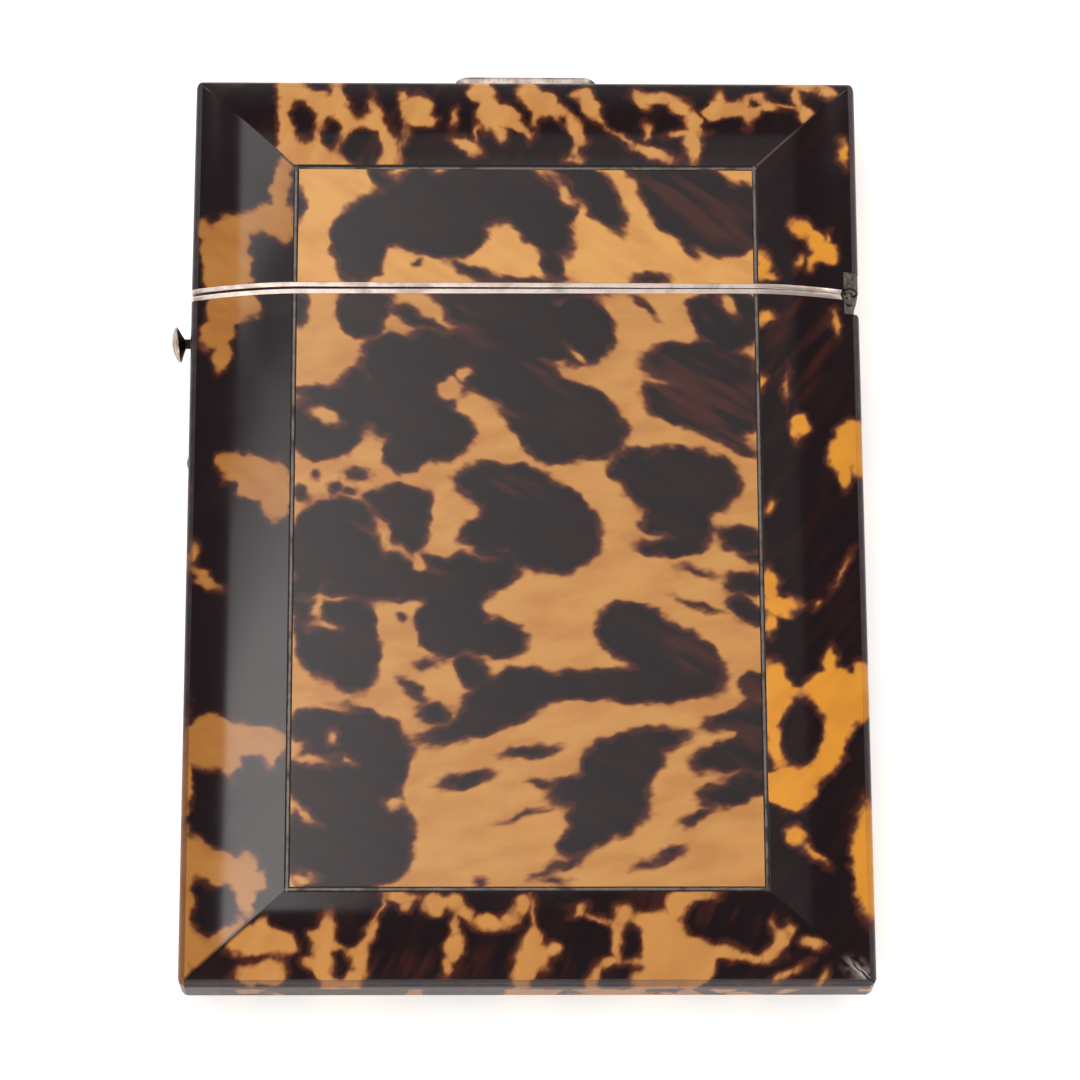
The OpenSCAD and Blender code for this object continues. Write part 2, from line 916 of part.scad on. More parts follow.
// Bare plate with round ends and a bevelled edge
module top_plate() {
  r = plate_d / 2;
  bevel = 0.25;
  step = plate_w / 2 - r;
  color(white_metal) lid_pose() translate([0, end_y, mid_z]) rotate([-90, 0, 0]) union() {
    for (dx = [-step, step]) translate([dx, 0, 0]) {
      cylinder(r = r, h = plate_t - bevel);
      translate([0, 0, plate_t - bevel]) cylinder(r1 = r, r2 = r - bevel, h = bevel);
    }
    rotate([90, 0, 90]) translate([0, 0, -step]) linear_extrude(height = 2 * step) polygon([
      [-r, 0], [r, 0], [r, plate_t - bevel], [r - bevel, plate_t], [-r + bevel, plate_t], [-r, plate_t - bevel]
    ]);
  }
}

body_front_board();
body_back_board();
body_left_board();
body_right_board();
body_bottom_board();
body_front_panel();
body_front_left();
body_front_right();
body_front_bottom();
body_back_panel();
body_back_left();
body_back_right();
body_back_bottom();
body_left_strip();
body_right_strip();
body_bottom_strip();
body_front_stringing();
body_back_stringing();
body_rim();
liner_front();
liner_back();
liner_left();
liner_right();
liner_bottom();
hinge_body_leaf();
hinge_pin();
hinge_body_rivets();
button_bush();
catch_foot();
catch_rivet();
lid_front_board();
lid_back_board();
lid_left_board();
lid_right_board();
lid_top_board();
lid_front_panel();
lid_front_left();
lid_front_right();
lid_front_top();
lid_back_panel();
lid_back_left();
lid_back_right();
lid_back_top();
lid_left_strip();
lid_right_strip();
lid_top_strip();
lid_front_stringing();
lid_back_stringing();
lid_rim();
lid_front_lining();
lid_back_lining();
hinge_lid_leaf();
hinge_lid_rivets();
keeper();
keeper_pins();
top_plate();
push_button();
button_washer();
catch_arm();
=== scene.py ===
"""Finishes, softened edges and stage for a tortoiseshell visiting card case."""

import json
import math

import bpy
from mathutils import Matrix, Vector

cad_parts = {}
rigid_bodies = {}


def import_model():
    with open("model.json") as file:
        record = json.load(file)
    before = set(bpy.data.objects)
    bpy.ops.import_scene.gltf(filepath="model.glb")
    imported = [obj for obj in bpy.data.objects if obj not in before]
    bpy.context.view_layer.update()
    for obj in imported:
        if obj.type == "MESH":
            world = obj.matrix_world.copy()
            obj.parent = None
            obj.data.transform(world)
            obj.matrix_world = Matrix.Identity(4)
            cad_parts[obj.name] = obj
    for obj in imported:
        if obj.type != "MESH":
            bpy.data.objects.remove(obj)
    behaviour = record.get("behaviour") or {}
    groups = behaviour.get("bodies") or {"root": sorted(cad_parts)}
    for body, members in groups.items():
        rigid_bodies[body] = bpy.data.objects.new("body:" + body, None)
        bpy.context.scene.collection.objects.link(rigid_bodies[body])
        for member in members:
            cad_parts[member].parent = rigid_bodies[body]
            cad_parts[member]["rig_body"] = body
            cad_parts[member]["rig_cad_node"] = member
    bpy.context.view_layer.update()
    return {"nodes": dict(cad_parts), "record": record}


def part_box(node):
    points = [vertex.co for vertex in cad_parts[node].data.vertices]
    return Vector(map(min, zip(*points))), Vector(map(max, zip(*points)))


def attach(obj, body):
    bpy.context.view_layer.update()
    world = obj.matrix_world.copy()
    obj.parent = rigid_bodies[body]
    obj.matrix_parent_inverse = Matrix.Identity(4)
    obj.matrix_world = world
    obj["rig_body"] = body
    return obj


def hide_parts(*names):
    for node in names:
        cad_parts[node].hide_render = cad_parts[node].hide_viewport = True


bl_info = {
    "name": "Tortoiseshell card case",
    "version": (1, 0, 0),
    "blender": (4, 5, 0),
    "location": "View3D > Sidebar > Card case",
    "description": "Gives a visiting card case its shell, metal, silk and stage",
    "category": "Object",
}

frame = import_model()

MM = 0.001

# Lines of the case in millimetres, as its maker would set them out
PANEL_HALF = 25.8
PANEL_TOP = 40.8
PANEL_LOW = -42.2
CASE_HALF_W = 37.5
CASE_HALF_H = 52.3
BUTTON_Y = 21.6
# Where the painted shade on the back of the button's head begins
BUTTON_BACK = -38.95
BUTTON_LEAN = math.tan(math.radians(7))

# Corners nearer than this are joined, in metres, and faces that turn less than this are flat
SAME_PLACE = 2e-6
FLAT_TURN = math.radians(0.2)

# How far inside the dark the bare ground of a sheet lies, in millimetres, before its marks are laid on
DARK_SHEET = 3.0
AMBER_SHEET = -3.0

# Steps from clear shell to dark, in millimetres inside the outline of a mark
BURNT_STEP = (-0.38, 0.02)
RUST_STEP = (-0.16, 0.18)
DARK_STEP = (0.0, 0.62)

# Width of the band in which the outline of a mark strays, in millimetres
STRAY = 1.8

# Marks of the shell, dark ones and amber ones in runs. Each is an ellipse in millimetres with its middle
# x and y, its half width and half height, and its turn in degrees if it has one. Later marks lie over
# earlier ones.
LID_PANEL_MARKS = (
    ("dark", (-6, 37.8, 10.5, 3.8), (-18.6, 31.8, 3.2, 5), (-17, 35.5, 3.2, 2.2, 30), (-14.4, 35.2, 3, 2.4),
     (-16, 40, 1.6, 1.7), (-10, 41, 3, 1.2), (-9, 33.2, 5, 3.2), (1.5, 34.3, 5.2, 2.6, -48),
     (3.8, 36.5, 2.2, 3), (3, 29.3, 1.2, 2.2, 25), (-5.8, 28.4, 3, 0.8, -22), (-0.5, 27.3, 4, 0.5),
     (8, 37.8, 5.6, 2.1, -57), (5, 40.6, 3, 1.2, -20), (19.3, 36.3, 7.5, 4.6, -35),
     (22.3, 33.8, 4.2, 3.6, -10), (15, 40.5, 4, 1.5), (24.5, 36.5, 2.5, 2.6), (18.2, 31.6, 1.6, 0.6, -60),
     (-25.4, 36.5, 0.9, 2), (14, 27.5, 2, 0.6), (-15.5, 33.2, 2.6, 1.9), (-11.5, 32.4, 3, 1.5),
     (-12, 29.5, 0.4, 0.4)),
    ("amber", (-14.3, 40.4, 1, 0.5, 20), (-9.8, 40.8, 0.8, 0.5), (4.6, 37.6, 1.7, 0.5, -52),
     (10.9, 40.3, 0.5, 1.8, 8), (24.5, 40.2, 2.6, 0.9, -25)),
)
BODY_PANEL_MARKS = (
    ("dark", (-25.4, 24, 1.2, 2.2), (-18.2, 23.6, 3.1, 3.2, -20), (-17.5, 26, 3, 1.6, -20),
     (-1, 22.6, 10, 3.9, -22), (6.3, 21.3, 3.7, 4.4), (0, 26, 9, 1.5), (-12, 22.8, 4, 0.9, -28),
     (-12, 17.3, 6.6, 4.2, -10), (-15.5, 12.5, 8, 3.6), (-10.3, 9.3, 4.9, 3.4), (-13.6, 7, 2.6, 2.6),
     (-2.5, 16.5, 8.5, 3.6, -27), (4, 11.3, 7.6, 4.6, -22), (3.5, 8, 3.6, 2.4), (-22.5, 10, 4.6, 3.9),
     (-23, 14, 3, 1), (-19, 15.8, 2, 1.2, 20), (22.8, 22.6, 4, 3.8), (19.6, 23.6, 1.8, 2),
     (19.5, 17.2, 6.8, 2.9, -5), (18.6, 12.8, 6, 3.2, -14), (23.6, 13, 2.6, 4.6), (22.6, 8.4, 4, 0.9, -28),
     (17.2, 3.6, 6.5, 4.3), (11.8, 5.2, 2.7, 1.8), (12.4, 7, 2.6, 0.8, 8), (16.6, -1.6, 4, 3.6),
     (13.6, -3.9, 1.8, 0.9, -8), (23.6, -2.8, 2.9, 1.5, -15), (25, -5, 1.6, 0.8, -20),
     (-2.2, 3.2, 6, 2.8, -8), (1.4, -0.6, 7, 4.6, -22), (2.8, -3.4, 5.4, 3.6), (-4.5, -2.5, 3.4, 2.3),
     (-5.8, -6.8, 5.5, 2.8, 14), (-13.6, 1, 4, 2.5, -6), (-12.8, -2, 2.2, 2.7, 15), (-21, -4, 5.5, 6),
     (-13.5, -7.3, 7.5, 3), (-8.5, -11.5, 3.9, 5.2), (-3.4, -14.4, 3.5, 2.5, -8), (-7.5, -8, 4, 3),
     (-19.4, -14.5, 3.6, 6.3, 10), (-22, -13, 3.5, 6), (-23, -9, 3, 3), (-19.5, -8.5, 4, 2),
     (-2, -20.8, 5.6, 3, 20), (4.5, -19.6, 6, 1.7, 4), (-6, -24.2, 6.2, 1.5, 17), (-6, -18, 2.2, 1.5, -50),
     (11.6, -13.3, 4.4, 3.3, -10), (15.6, -16.2, 6.7, 3.6, -28), (12.6, -19.6, 8, 2.1),
     (-12.5, -20, 1.9, 0.8, -38), (-10.2, -22.7, 2, 1.2), (-11, -17.2, 1.1, 0.5, 10),
     (-19, -25, 6.2, 3.3, -12), (-16.4, -28, 4, 4), (-19, -33, 5.6, 5.2), (-19.5, -38, 7.4, 4.8),
     (-23, -30, 3, 4), (-23, -37, 3, 5), (-24, -24, 2, 2), (-15, -36, 3, 2.6), (0.3, -27, 3.2, 0.75, 7),
     (-6.6, -30.1, 3.1, 0.95, 12), (13, -25.8, 5, 1.4, 6), (10.2, -28.4, 4.8, 3.2, 12),
     (7.8, -31.5, 5.6, 2.2), (8.8, -34, 4.6, 2.8, 15), (5.8, -36.8, 3, 1.7, 20), (1.8, -30.4, 1.6, 0.5),
     (23, -27.3, 5.6, 2, 12), (22.8, -31.3, 4.4, 1.6, 14), (22.6, -23.4, 3.6, 1.1, 10), (24.6, -25.5, 2, 5),
     (18.4, -34.3, 1.9, 0.7, 22), (24.6, -19.4, 1.6, 1.6), (24, -8, 2.3, 1.5), (24.2, -11.2, 2.8, 1.2, -35),
     (18.8, -6.7, 1.8, 0.4, -12), (19, -10.6, 2.2, 0.35, -20), (15.6, -38.4, 1.8, 0.8, 22),
     (12.8, -39.4, 1.3, 0.3, 15), (1.8, -40.4, 1.2, 0.3, 20), (3, -41.4, 1.5, 0.4), (-5, -41.3, 0.9, 0.4),
     (-0.3, -34, 2, 0.25, 18), (13.4, 24.2, 2, 0.45, -45), (4.5, -39.2, 2, 0.5, 20)),
    ("amber", (-11.2, 24.6, 2, 1.1, -40), (-14, 21.6, 1, 0.3, -20), (-7, 16.3, 0.8, 0.8),
     (-8.3, 14.5, 1.3, 1.3), (-6.6, 12.6, 1.9, 0.7, -50), (-4.6, 12.9, 1.8, 0.25, -22),
     (-22.2, 11.4, 1.8, 0.7, -24), (-16.8, 7.2, 0.7, 2.3, 14), (6, 18.2, 1.3, 0.45, -45),
     (14.4, 15.6, 1.2, 0.3, -15), (22.6, 24.5, 0.7, 1.4, 25), (17.2, 9.3, 2.6, 0.3, -14),
     (13, -2.6, 1.7, 0.35, -4), (-8.6, 0.2, 1.7, 2.9), (-15.9, -2.4, 0.5, 1.5, 18),
     (-14, -4.1, 2.1, 0.22, -32), (-11.8, -5.5, 0.8, 0.9), (-9.6, -4, 1.4, 0.3, 20),
     (-7, -4.2, 1.6, 0.25, -18), (-22.8, -10.7, 0.45, 1.6, -12), (-22.2, -12.8, 1.3, 0.4, -12),
     (-21.5, -9.6, 1.4, 0.25), (-14.3, -13.5, 1.9, 3.3), (-13, -10.8, 1.6, 0.8, 30),
     (-22.5, -21.6, 2.6, 0.4, -8), (-21.1, -25.3, 0.5, 0.7), (-23.8, -27.8, 1.9, 0.5, -8),
     (-24.4, -33.6, 1.5, 0.35, -40), (-24.2, -41, 1.3, 0.5), (-19.4, -28, 0.5, 0.25, -30),
     (-25.2, -18.5, 0.5, 2, 8), (-14.4, -32.8, 1, 0.7)),
    ("dark", (-23.2, 4.4, 0.6, 0.5), (-21, 3.1, 0.9, 0.8), (-24.6, 2.3, 0.9, 0.9), (-19.3, 2.6, 0.7, 0.5),
     (-17, 1.8, 1.1, 1), (-22, 0.9, 1.6, 0.9), (-18.6, 4.6, 1.5, 0.7, -10), (-13.6, -11.9, 0.5, 0.4)),
)
LEFT_BORDER_MARKS = (
    ("amber", (-27.4, 47, 0.8, 4), (-27.5, 38.6, 1.1, 4.4, -8), (-27.6, 34, 1.9, 2.4),
     (-29.6, 35, 3.6, 1.6, 12), (-33.6, 31.5, 3, 3.9), (-36, 34.3, 0.8, 1.2), (-34, 28.5, 2.1, 3),
     (-31.6, 29.4, 1.4, 2.6)),
    ("dark", (-28.5, 29.4, 2.4, 3.2), (-30.2, 31.3, 1, 0.9)),
    ("amber", (-33.2, 24.8, 2.7, 2.4), (-31.1, 24.2, 1.5, 1.1), (-34.5, 21.6, 2.1, 1.9),
     (-33.9, 19, 0.9, 1.8), (-29.8, 4.2, 3.8, 2.6, -20), (-27.6, 2.6, 1.8, 3.4), (-33, 6.4, 1.5, 1.2)),
    ("dark", (-32.8, 3.3, 0.8, 0.8)),
    ("amber", (-36.9, -4, 0.6, 1.4), (-35.4, -7, 2, 0.7, -38), (-34, -25.6, 3.6, 3),
     (-29.5, -25.6, 3.6, 1.9, -10), (-32.2, -28, 1, 1.7), (-27.8, -27.4, 0.8, 1.2), (-37, -31, 0.7, 7),
     (-36, -39.5, 2.4, 4), (-33.2, -39.7, 2.6, 2.3), (-30.9, -40.4, 1.7, 2.4, -15),
     (-29.2, -41.3, 1.3, 1.1, 20), (-36.8, -46, 1, 9), (-30.3, -42.6, 1.1, 2.6, 8),
     (-33, -47.4, 3.2, 1, 42), (-35.6, -48.4, 1.5, 2.6, 30)),
    ("dark", (-34.4, -31, 1.8, 2.5), (-35, -34, 1.9, 1.9, -20), (-33.4, -35.1, 1.5, 2.1),
     (-33.1, -43.7, 2.2, 2.4), (-35, -42.4, 0.9, 1.9, 15), (-34.6, -45.2, 0.6, 1.4)),
)
RIGHT_BORDER_MARKS = (
    ("amber", (36.1, 43.6, 0.75, 1.6)),
    ("dark", (37, 44, 0.4, 0.6)),
    ("amber", (31, 34, 1.3, 1.1), (32.6, 32.7, 1.1, 1.5, 35), (33.6, 31.4, 1.6, 1.4, -10),
     (34.4, 30.8, 0.9, 0.8), (32.4, 30.3, 0.6, 1.2, -15), (34, 33.2, 0.3, 0.6, -20)),
    ("dark", (31.3, 31.5, 0.6, 1)),
    ("amber", (30.8, 29.8, 0.4, 0.8, -30), (26.6, 29, 0.8, 1.8), (27.5, 27.9, 0.7, 0.5),
     (26.8, 22.9, 1.1, 0.7, 30), (34.9, 23, 0.5, 1.1), (26.2, 15.3, 0.5, 0.8), (29, 15.1, 0.2, 0.9, -5),
     (30.4, 10.7, 1.1, 1.1), (30, 9.6, 0.5, 1), (36.5, 9, 2.1, 2.9), (35, 7.3, 1.5, 1.9),
     (35.5, 4.9, 0.8, 1.5, -12), (37, 6.5, 1, 1.5), (26.9, 0.8, 0.7, 0.35, 45), (34.9, -5.9, 0.2, 1.3, -28),
     (31.7, -10.2, 0.4, 0.25, 40), (26.8, -8.2, 1, 1.8), (27.6, -10.4, 1.9, 1.3), (29, -10.2, 1.1, 0.5),
     (26.6, -12.5, 0.8, 1.3), (34.4, -20.4, 4, 3.2), (33.2, -16.9, 0.8, 1.8, -10), (36.9, -18.2, 1.2, 2),
     (31.6, -19.4, 2.4, 1, 30), (27, -19.6, 1.6, 2.9), (28.8, -20.4, 2, 0.8), (27.5, -24, 1.8, 5),
     (28.5, -31, 3, 2.5), (31.8, -27, 2.2, 4, -25), (33.5, -24.3, 2, 3.2), (37, -38.6, 1.9, 6.6),
     (28.9, -36.2, 0.9, 1.2, 40), (31, -38.2, 1.6, 0.5, -35)),
    ("dark", (29.9, -24.7, 2.45, 4, -6), (36.9, -27, 1.9, 3.2, 15)),
)
TOP_BORDER_MARKS = (
    ("amber", (-25, 46.5, 3.1, 7), (-27, 51.6, 1.5, 1.6), (-26.6, 42.2, 1.9, 2.6), (-20.5, 45.6, 4.6, 5.4),
     (-21.4, 51, 0.9, 2), (-17.6, 49.3, 0.45, 1.9, 6), (-16, 44.6, 1.7, 4, 14),
     (-13.7, 43.6, 0.6, 2.4, -12), (-12.2, 48.3, 1.9, 2.4), (-13.9, 50.2, 0.6, 1), (-10.7, 46.9, 0.9, 0.9)),
    ("dark", (-25.1, 46.9, 1.35, 2.7, 13), (-21.9, 45.3, 1.15, 2.1, 4), (-18.4, 43.3, 2.3, 2.6),
     (-19, 50.7, 1.5, 3.2, 6), (-23.6, 52.2, 1.6, 0.9), (-15.3, 49, 1, 4.6, 14), (-11.6, 42.8, 2.1, 2.8)),
    ("amber", (-7.9, 47.4, 0.35, 0.9), (-6.5, 43.7, 1.9, 0.85, -32), (-5.4, 45.4, 0.25, 1),
     (-5, 51.2, 1.5, 2, 14), (-3.9, 48, 1.6, 2.6), (-2.3, 47.7, 1.5, 1.8), (-3, 45.6, 0.7, 1.3, 25),
     (-0.8, 46.2, 1.7, 0.7, -30), (0.5, 45, 0.4, 0.8), (0.5, 51, 1.5, 1.2, -20), (2, 49.3, 1.9, 1.9, -40),
     (3.4, 48.2, 2, 1.1, -42), (5.2, 46.6, 2.2, 0.85, -52), (6.1, 45, 0.85, 1.5, 12), (5.8, 43, 0.35, 1.3),
     (5.6, 41.9, 0.8, 0.35), (1.1, 47.6, 0.5, 1, 10)),
    ("dark", (4.3, 46.9, 0.5, 0.45)),
    ("amber", (6.5, 50.6, 1.2, 0.9, -10), (7.3, 49, 1, 1.8, 22), (8.4, 47.4, 0.4, 1.5, 30),
     (11.2, 44.6, 1.6, 0.3, -32), (13.4, 49.9, 0.9, 1.5, 25), (15, 50.2, 2.6, 0.8, -3),
     (17.6, 49, 1.8, 0.9, -50), (19.2, 46.8, 1.1, 1.7, 10), (18.1, 45.2, 1.9, 0.6),
     (19, 43.6, 0.8, 2.1, -3), (13.7, 45.6, 0.5, 1), (14.5, 42.7, 2.5, 0.8, -18),
     (21.6, 48.4, 1.3, 1.3, 20), (23.6, 48.6, 2, 1.2), (25.6, 48.7, 1.4, 1.6), (27.2, 49.2, 1.8, 0.8, -12),
     (29.6, 49, 1.9, 0.22, -18), (22.1, 49.9, 0.5, 1), (26.5, 50.3, 0.8, 0.6), (25.3, 47.1, 0.45, 0.8)),
    ("dark", (25.9, 49.2, 0.5, 0.4)),
    ("amber", (31.5, 51.9, 2, 0.7), (31, 50.2, 0.6, 1.9, 8), (31.9, 47.9, 0.7, 1.2, 20),
     (34.3, 51.1, 1.7, 0.6, -40)),
)
BOTTOM_BORDER_MARKS = (
    ("amber", (-29, -47.8, 3.3, 1.9), (-27, -48, 2.2, 1.5, -10), (-28.6, -46, 0.9, 1),
     (-27.9, -50.8, 1.9, 1.5), (-29.8, -51.2, 1.8, 1)),
    ("dark", (-29.6, -49.5, 2.4, 0.28, 3), (-33.5, -49.9, 2.6, 1.1)),
    ("amber", (-21.5, -47, 1.05, 2.4), (-22.2, -47.2, 1.1, 0.8), (-21.8, -50.2, 1.3, 2.5, 12),
     (-23, -50, 1, 0.7), (-20.4, -48.7, 1, 0.7, -30), (-20.2, -52, 1.9, 0.7), (-17.8, -49.4, 0.9, 2.2, -14),
     (-18.9, -49, 0.9, 0.6), (-16.9, -46.9, 0.6, 1.9, -26), (-15.8, -44.3, 0.18, 1.9, -22),
     (-18.6, -51.6, 0.8, 0.9, -20)),
    ("dark", (-20, -50.1, 0.85, 1.35, 8)),
    ("amber", (-13.4, -43.1, 1.9, 0.75, -5), (-13, -43.9, 0.7, 0.5), (-9.8, -43.8, 1.3, 1.2),
     (-8, -43.6, 1.2, 1), (-6.6, -44.6, 1.2, 0.7, -30), (-4, -45.9, 1.9, 0.75, -10),
     (-2, -45.3, 1, 0.7, 40), (-0.6, -43.9, 1.1, 0.8, 50), (-7.8, -46.4, 0.4, 1.5, -4),
     (-7.8, -48.4, 1.1, 1.4, -15), (-8.6, -50.2, 0.6, 1.1, -10), (0.5, -45, 0.22, 1.8),
     (0.5, -47.8, 1, 1.5), (0.7, -49.3, 2.1, 1.4), (2.6, -48.6, 0.7, 0.9, 30), (-0.3, -51, 1.1, 1.6, -22),
     (5.7, -44.5, 0.8, 0.35, 35), (7.6, -45.2, 1.3, 0.2, -15), (10.3, -45, 0.8, 1.2, -20),
     (9.6, -47.4, 0.7, 2.2), (8.6, -49.9, 1.2, 0.6, 35), (7.2, -51.4, 0.6, 1.2, -30),
     (14.6, -48.5, 2.7, 4.2), (17.4, -49.8, 2.9, 2.8), (16.4, -44, 1.7, 1.5, 40), (18.3, -42.9, 2, 0.7, 5),
     (12.6, -45.6, 1.8, 0.9), (13.8, -51.5, 3, 1.2), (12, -49.8, 1.6, 0.45), (21, -48.9, 2.2, 1, -5),
     (23.6, -49.3, 2, 0.5), (25.8, -49, 1.2, 0.9, 30), (27, -47.8, 0.9, 1.4, -20), (26.3, -46.4, 0.3, 0.8),
     (28.1, -46.6, 0.5, 0.8, -20)),
    ("dark", (11.3, -47.9, 1.05, 1.15), (9.8, -51.2, 1.7, 1.05, 22), (19.4, -45.4, 2.8, 2.1, 20),
     (24.2, -46.9, 1.9, 1.5)),
    ("amber", (30.6, -47.9, 1.2, 0.55), (27.8, -51.2, 1.8, 0.4, 28), (31.6, -51.6, 0.3, 0.9, -30)),
)

# Where the dark lets reddish brown through
BROWN_PLACES = (
    ("dark", (-8, 22.5, 9, 1.6, -26), (3, 16, 5, 1.4, -28), (20, 14.5, 7, 4, -25), (19.5, 36, 7, 2.4, -32),
     (21, 21, 3.5, 2.5, -20), (-1, 3, 3, 1.2, -10), (24, -24, 2.4, 6), (15.6, -38.4, 3, 1.5, 22),
     (-12, -18.5, 3.5, 2, -20), (23.5, -4, 2.6, 2.2), (18, -16, 3, 1.5, -30), (31, 20, 4, 6.5, -20),
     (-15, 47, 10, 3, 60), (20, -44.5, 8, 1.5, -10), (-6, -50, 12, 1.5)),
)


def shade(text):
    """The linear colour of a hexadecimal one."""
    channels = [int(text[i:i + 2], 16) / 255 for i in (1, 3, 5)]
    linear = [c / 12.92 if c <= 0.04045 else ((c + 0.055) / 1.055) ** 2.4 for c in channels]
    return (*linear, 1.0)


def blend(first, second, part):
    """A colour part of the way from the first to the second."""
    return tuple(a + (b - a) * part for a, b in zip(first, second))


def dimmed(colour, share):
    """A colour with only a share of its light."""
    return (*(channel * share for channel in colour[:3]), 1.0)


class Flow:
    """A shader socket that takes part in plain sums."""

    def __init__(self, finish, socket):
        self.finish = finish
        self.socket = socket

    def __add__(self, other):
        return self.finish.sum("ADD", self, other)

    __radd__ = __add__

    def __sub__(self, other):
        return self.finish.sum("SUBTRACT", self, other)

    def __rsub__(self, other):
        return self.finish.sum("SUBTRACT", other, self)

    def __mul__(self, other):
        return self.finish.sum("MULTIPLY", self, other)

    __rmul__ = __mul__

    def __abs__(self):
        return self.finish.sum("ABSOLUTE", self)


class Tree:
    """A node tree that is being filled."""

    def __init__(self, tree):
        self.tree = tree

    def node(self, kind, settings=None, values=None, output=0):
        """Adds a node, sets it up, fills its sockets and gives one output."""
        made = self.tree.nodes.new(kind)
        for key, value in (settings or {}).items():
            setattr(made, key, value)
        for key, value in (values or {}).items():
            if isinstance(value, Flow):
                self.tree.links.new(value.socket, made.inputs[key])
            else:
                made.inputs[key].default_value = value
        return Flow(self, made.outputs[output]) if made.outputs else None


class Finish(Tree):
    """A material, the constants of its shader and the nodes that vary over the surface."""

    def __init__(self, name, **constants):
        self.material = bpy.data.materials.new(name)
        self.material.use_nodes = True
        super().__init__(self.material.node_tree)
        self.shader = self.tree.nodes["Principled BSDF"]
        for socket, value in constants.items():
            self.shader.inputs[socket.replace("_", " ")].default_value = value
        self.place = self.node("ShaderNodeTexCoord", output="Object")
        self.x, self.y, self.z = (self.axis(letter) for letter in "XYZ")

    def axis(self, letter):
        """One coordinate in millimetres."""
        return self.node("ShaderNodeSeparateXYZ", values={0: self.place}, output=letter) * (1 / MM)

    def sum(self, operation, *values):
        return self.node("ShaderNodeMath", {"operation": operation}, dict(enumerate(values)))

    def vector(self, operation, *values, output="Vector"):
        return self.node("ShaderNodeVectorMath", {"operation": operation}, dict(enumerate(values)), output)

    def rise(self, value, low, high):
        """Goes smoothly from 0 at low to 1 at high."""
        ends = {"Value": value, "From Min": low, "From Max": high}
        return self.node("ShaderNodeMapRange", {"interpolation_type": "SMOOTHSTEP"}, ends)

    def between(self, part, first, second):
        """A number part of the way from the first to the second."""
        return self.node("ShaderNodeMix", values={0: part, 2: first, 3: second})

    def mix(self, part, first, second):
        """A colour part of the way from the first to the second, which may be hexadecimal."""
        first, second = (shade(value) if isinstance(value, str) else value for value in (first, second))
        return self.node("ShaderNodeMix", {"data_type": "RGBA"}, {0: part, 6: first, 7: second}, output=2)

    def laid(self, vector, location, turn, scale):
        """Place seen from a spot, turned in degrees about z and divided by a size, all in metres."""
        values = {"Vector": vector, "Rotation": (0, 0, math.radians(turn)), "Scale": scale}
        if location:
            values["Location"] = location
        return self.node("ShaderNodeMapping", {"vector_type": "TEXTURE"}, values)

    def drawn_out(self, sizes, turn=0, vector=None):
        """Place divided by one size in millimetres or one for each axis, after a turn about z."""
        if not isinstance(sizes, tuple):
            sizes = (sizes,) * 3
        return self.laid(vector or self.place, None, turn, tuple(size * MM for size in sizes))

    def noise(self, sizes, turn=0, detail=2, roughness=0.5, distortion=0, vector=None, output="Fac"):
        values = {"Vector": self.drawn_out(sizes, turn, vector), "Scale": 1.0}
        values.update(Detail=detail, Roughness=roughness, Distortion=distortion)
        return self.node("ShaderNodeTexNoise", values=values, output=output)

    def patches(self, sizes, low, high, **grain):
        """Noise that is 0 below low and 1 above high."""
        return self.rise(self.noise(sizes, **grain), low, high)

    def wave(self, direction, spacing, **values):
        """Smooth ribs across one axis at a spacing in millimetres."""
        settings = {"bands_direction": direction, "wave_profile": "SIN"}
        values = {key.replace("_", " "): value for key, value in values.items()}
        values["Vector"] = self.drawn_out(spacing)
        return self.node("ShaderNodeTexWave", settings, values, output="Fac")

    def bump(self, height, strength, depth):
        """A bump of a depth in millimetres, which feeds the normal."""
        values = {"Strength": strength, "Distance": depth * MM, "Height": height}
        return self.node("ShaderNodeBump", values=values, output="Normal")

    def feed(self, **links):
        for socket, value in links.items():
            self.tree.links.new(value.socket, self.shader.inputs[socket.replace("_", " ")])
        return self.material


def inside(finish, marks, start, vector, join=0.9):
    """How far inside the marked dark a point lies, in millimetres."""
    depth = start
    for kind, *ellipses in marks:
        side, operation, soft = (-1, "SMOOTH_MAX", join) if kind == "dark" else (1, "SMOOTH_MIN", join * 0.6)
        for x, y, half_w, half_h, *turn in ellipses:
            short = min(half_w, half_h) * side
            spot = finish.laid(vector, (x * MM, y * MM, 0), sum(turn), (half_w * MM, half_h * MM, 1))
            away = finish.vector("LENGTH", spot, output="Value")
            depth = finish.sum(operation, depth, finish.sum("MULTIPLY_ADD", away, short, -short), soft)
    return depth


def reaching(marks, low, high, spare=2.0):
    """The marks that reach between two heights, with a little to spare."""
    found = []
    for kind, *ellipses in marks:
        near = []
        for mark in ellipses:
            reach = max(mark[2], mark[3]) + spare
            if mark[1] + reach > low and mark[1] - reach < high:
                near.append(mark)
        found.append((kind, *near))
    return found


def strayed(finish):
    """Place moved about a little, so that the outlines of marks waver."""
    grain = finish.noise((2.2, 1.8, 2.2), detail=1.5, roughness=0.45, output="Color")
    wander = finish.vector("SUBTRACT", grain, (0.5, 0.5, 0.5))
    return finish.vector("MULTIPLY_ADD", wander, (STRAY * MM, STRAY * MM, 0), finish.place)


def clouded(finish, turn, seed):
    """A shell pattern of its own, as a depth inside the dark in millimetres."""
    moved = finish.vector("ADD", finish.place, (seed * MM, seed * MM * 2, 0))
    clouds = finish.noise((9, 6, 9), turn=turn, detail=2.5, distortion=0.6, vector=moved)
    return (clouds - 0.44) * 14.0


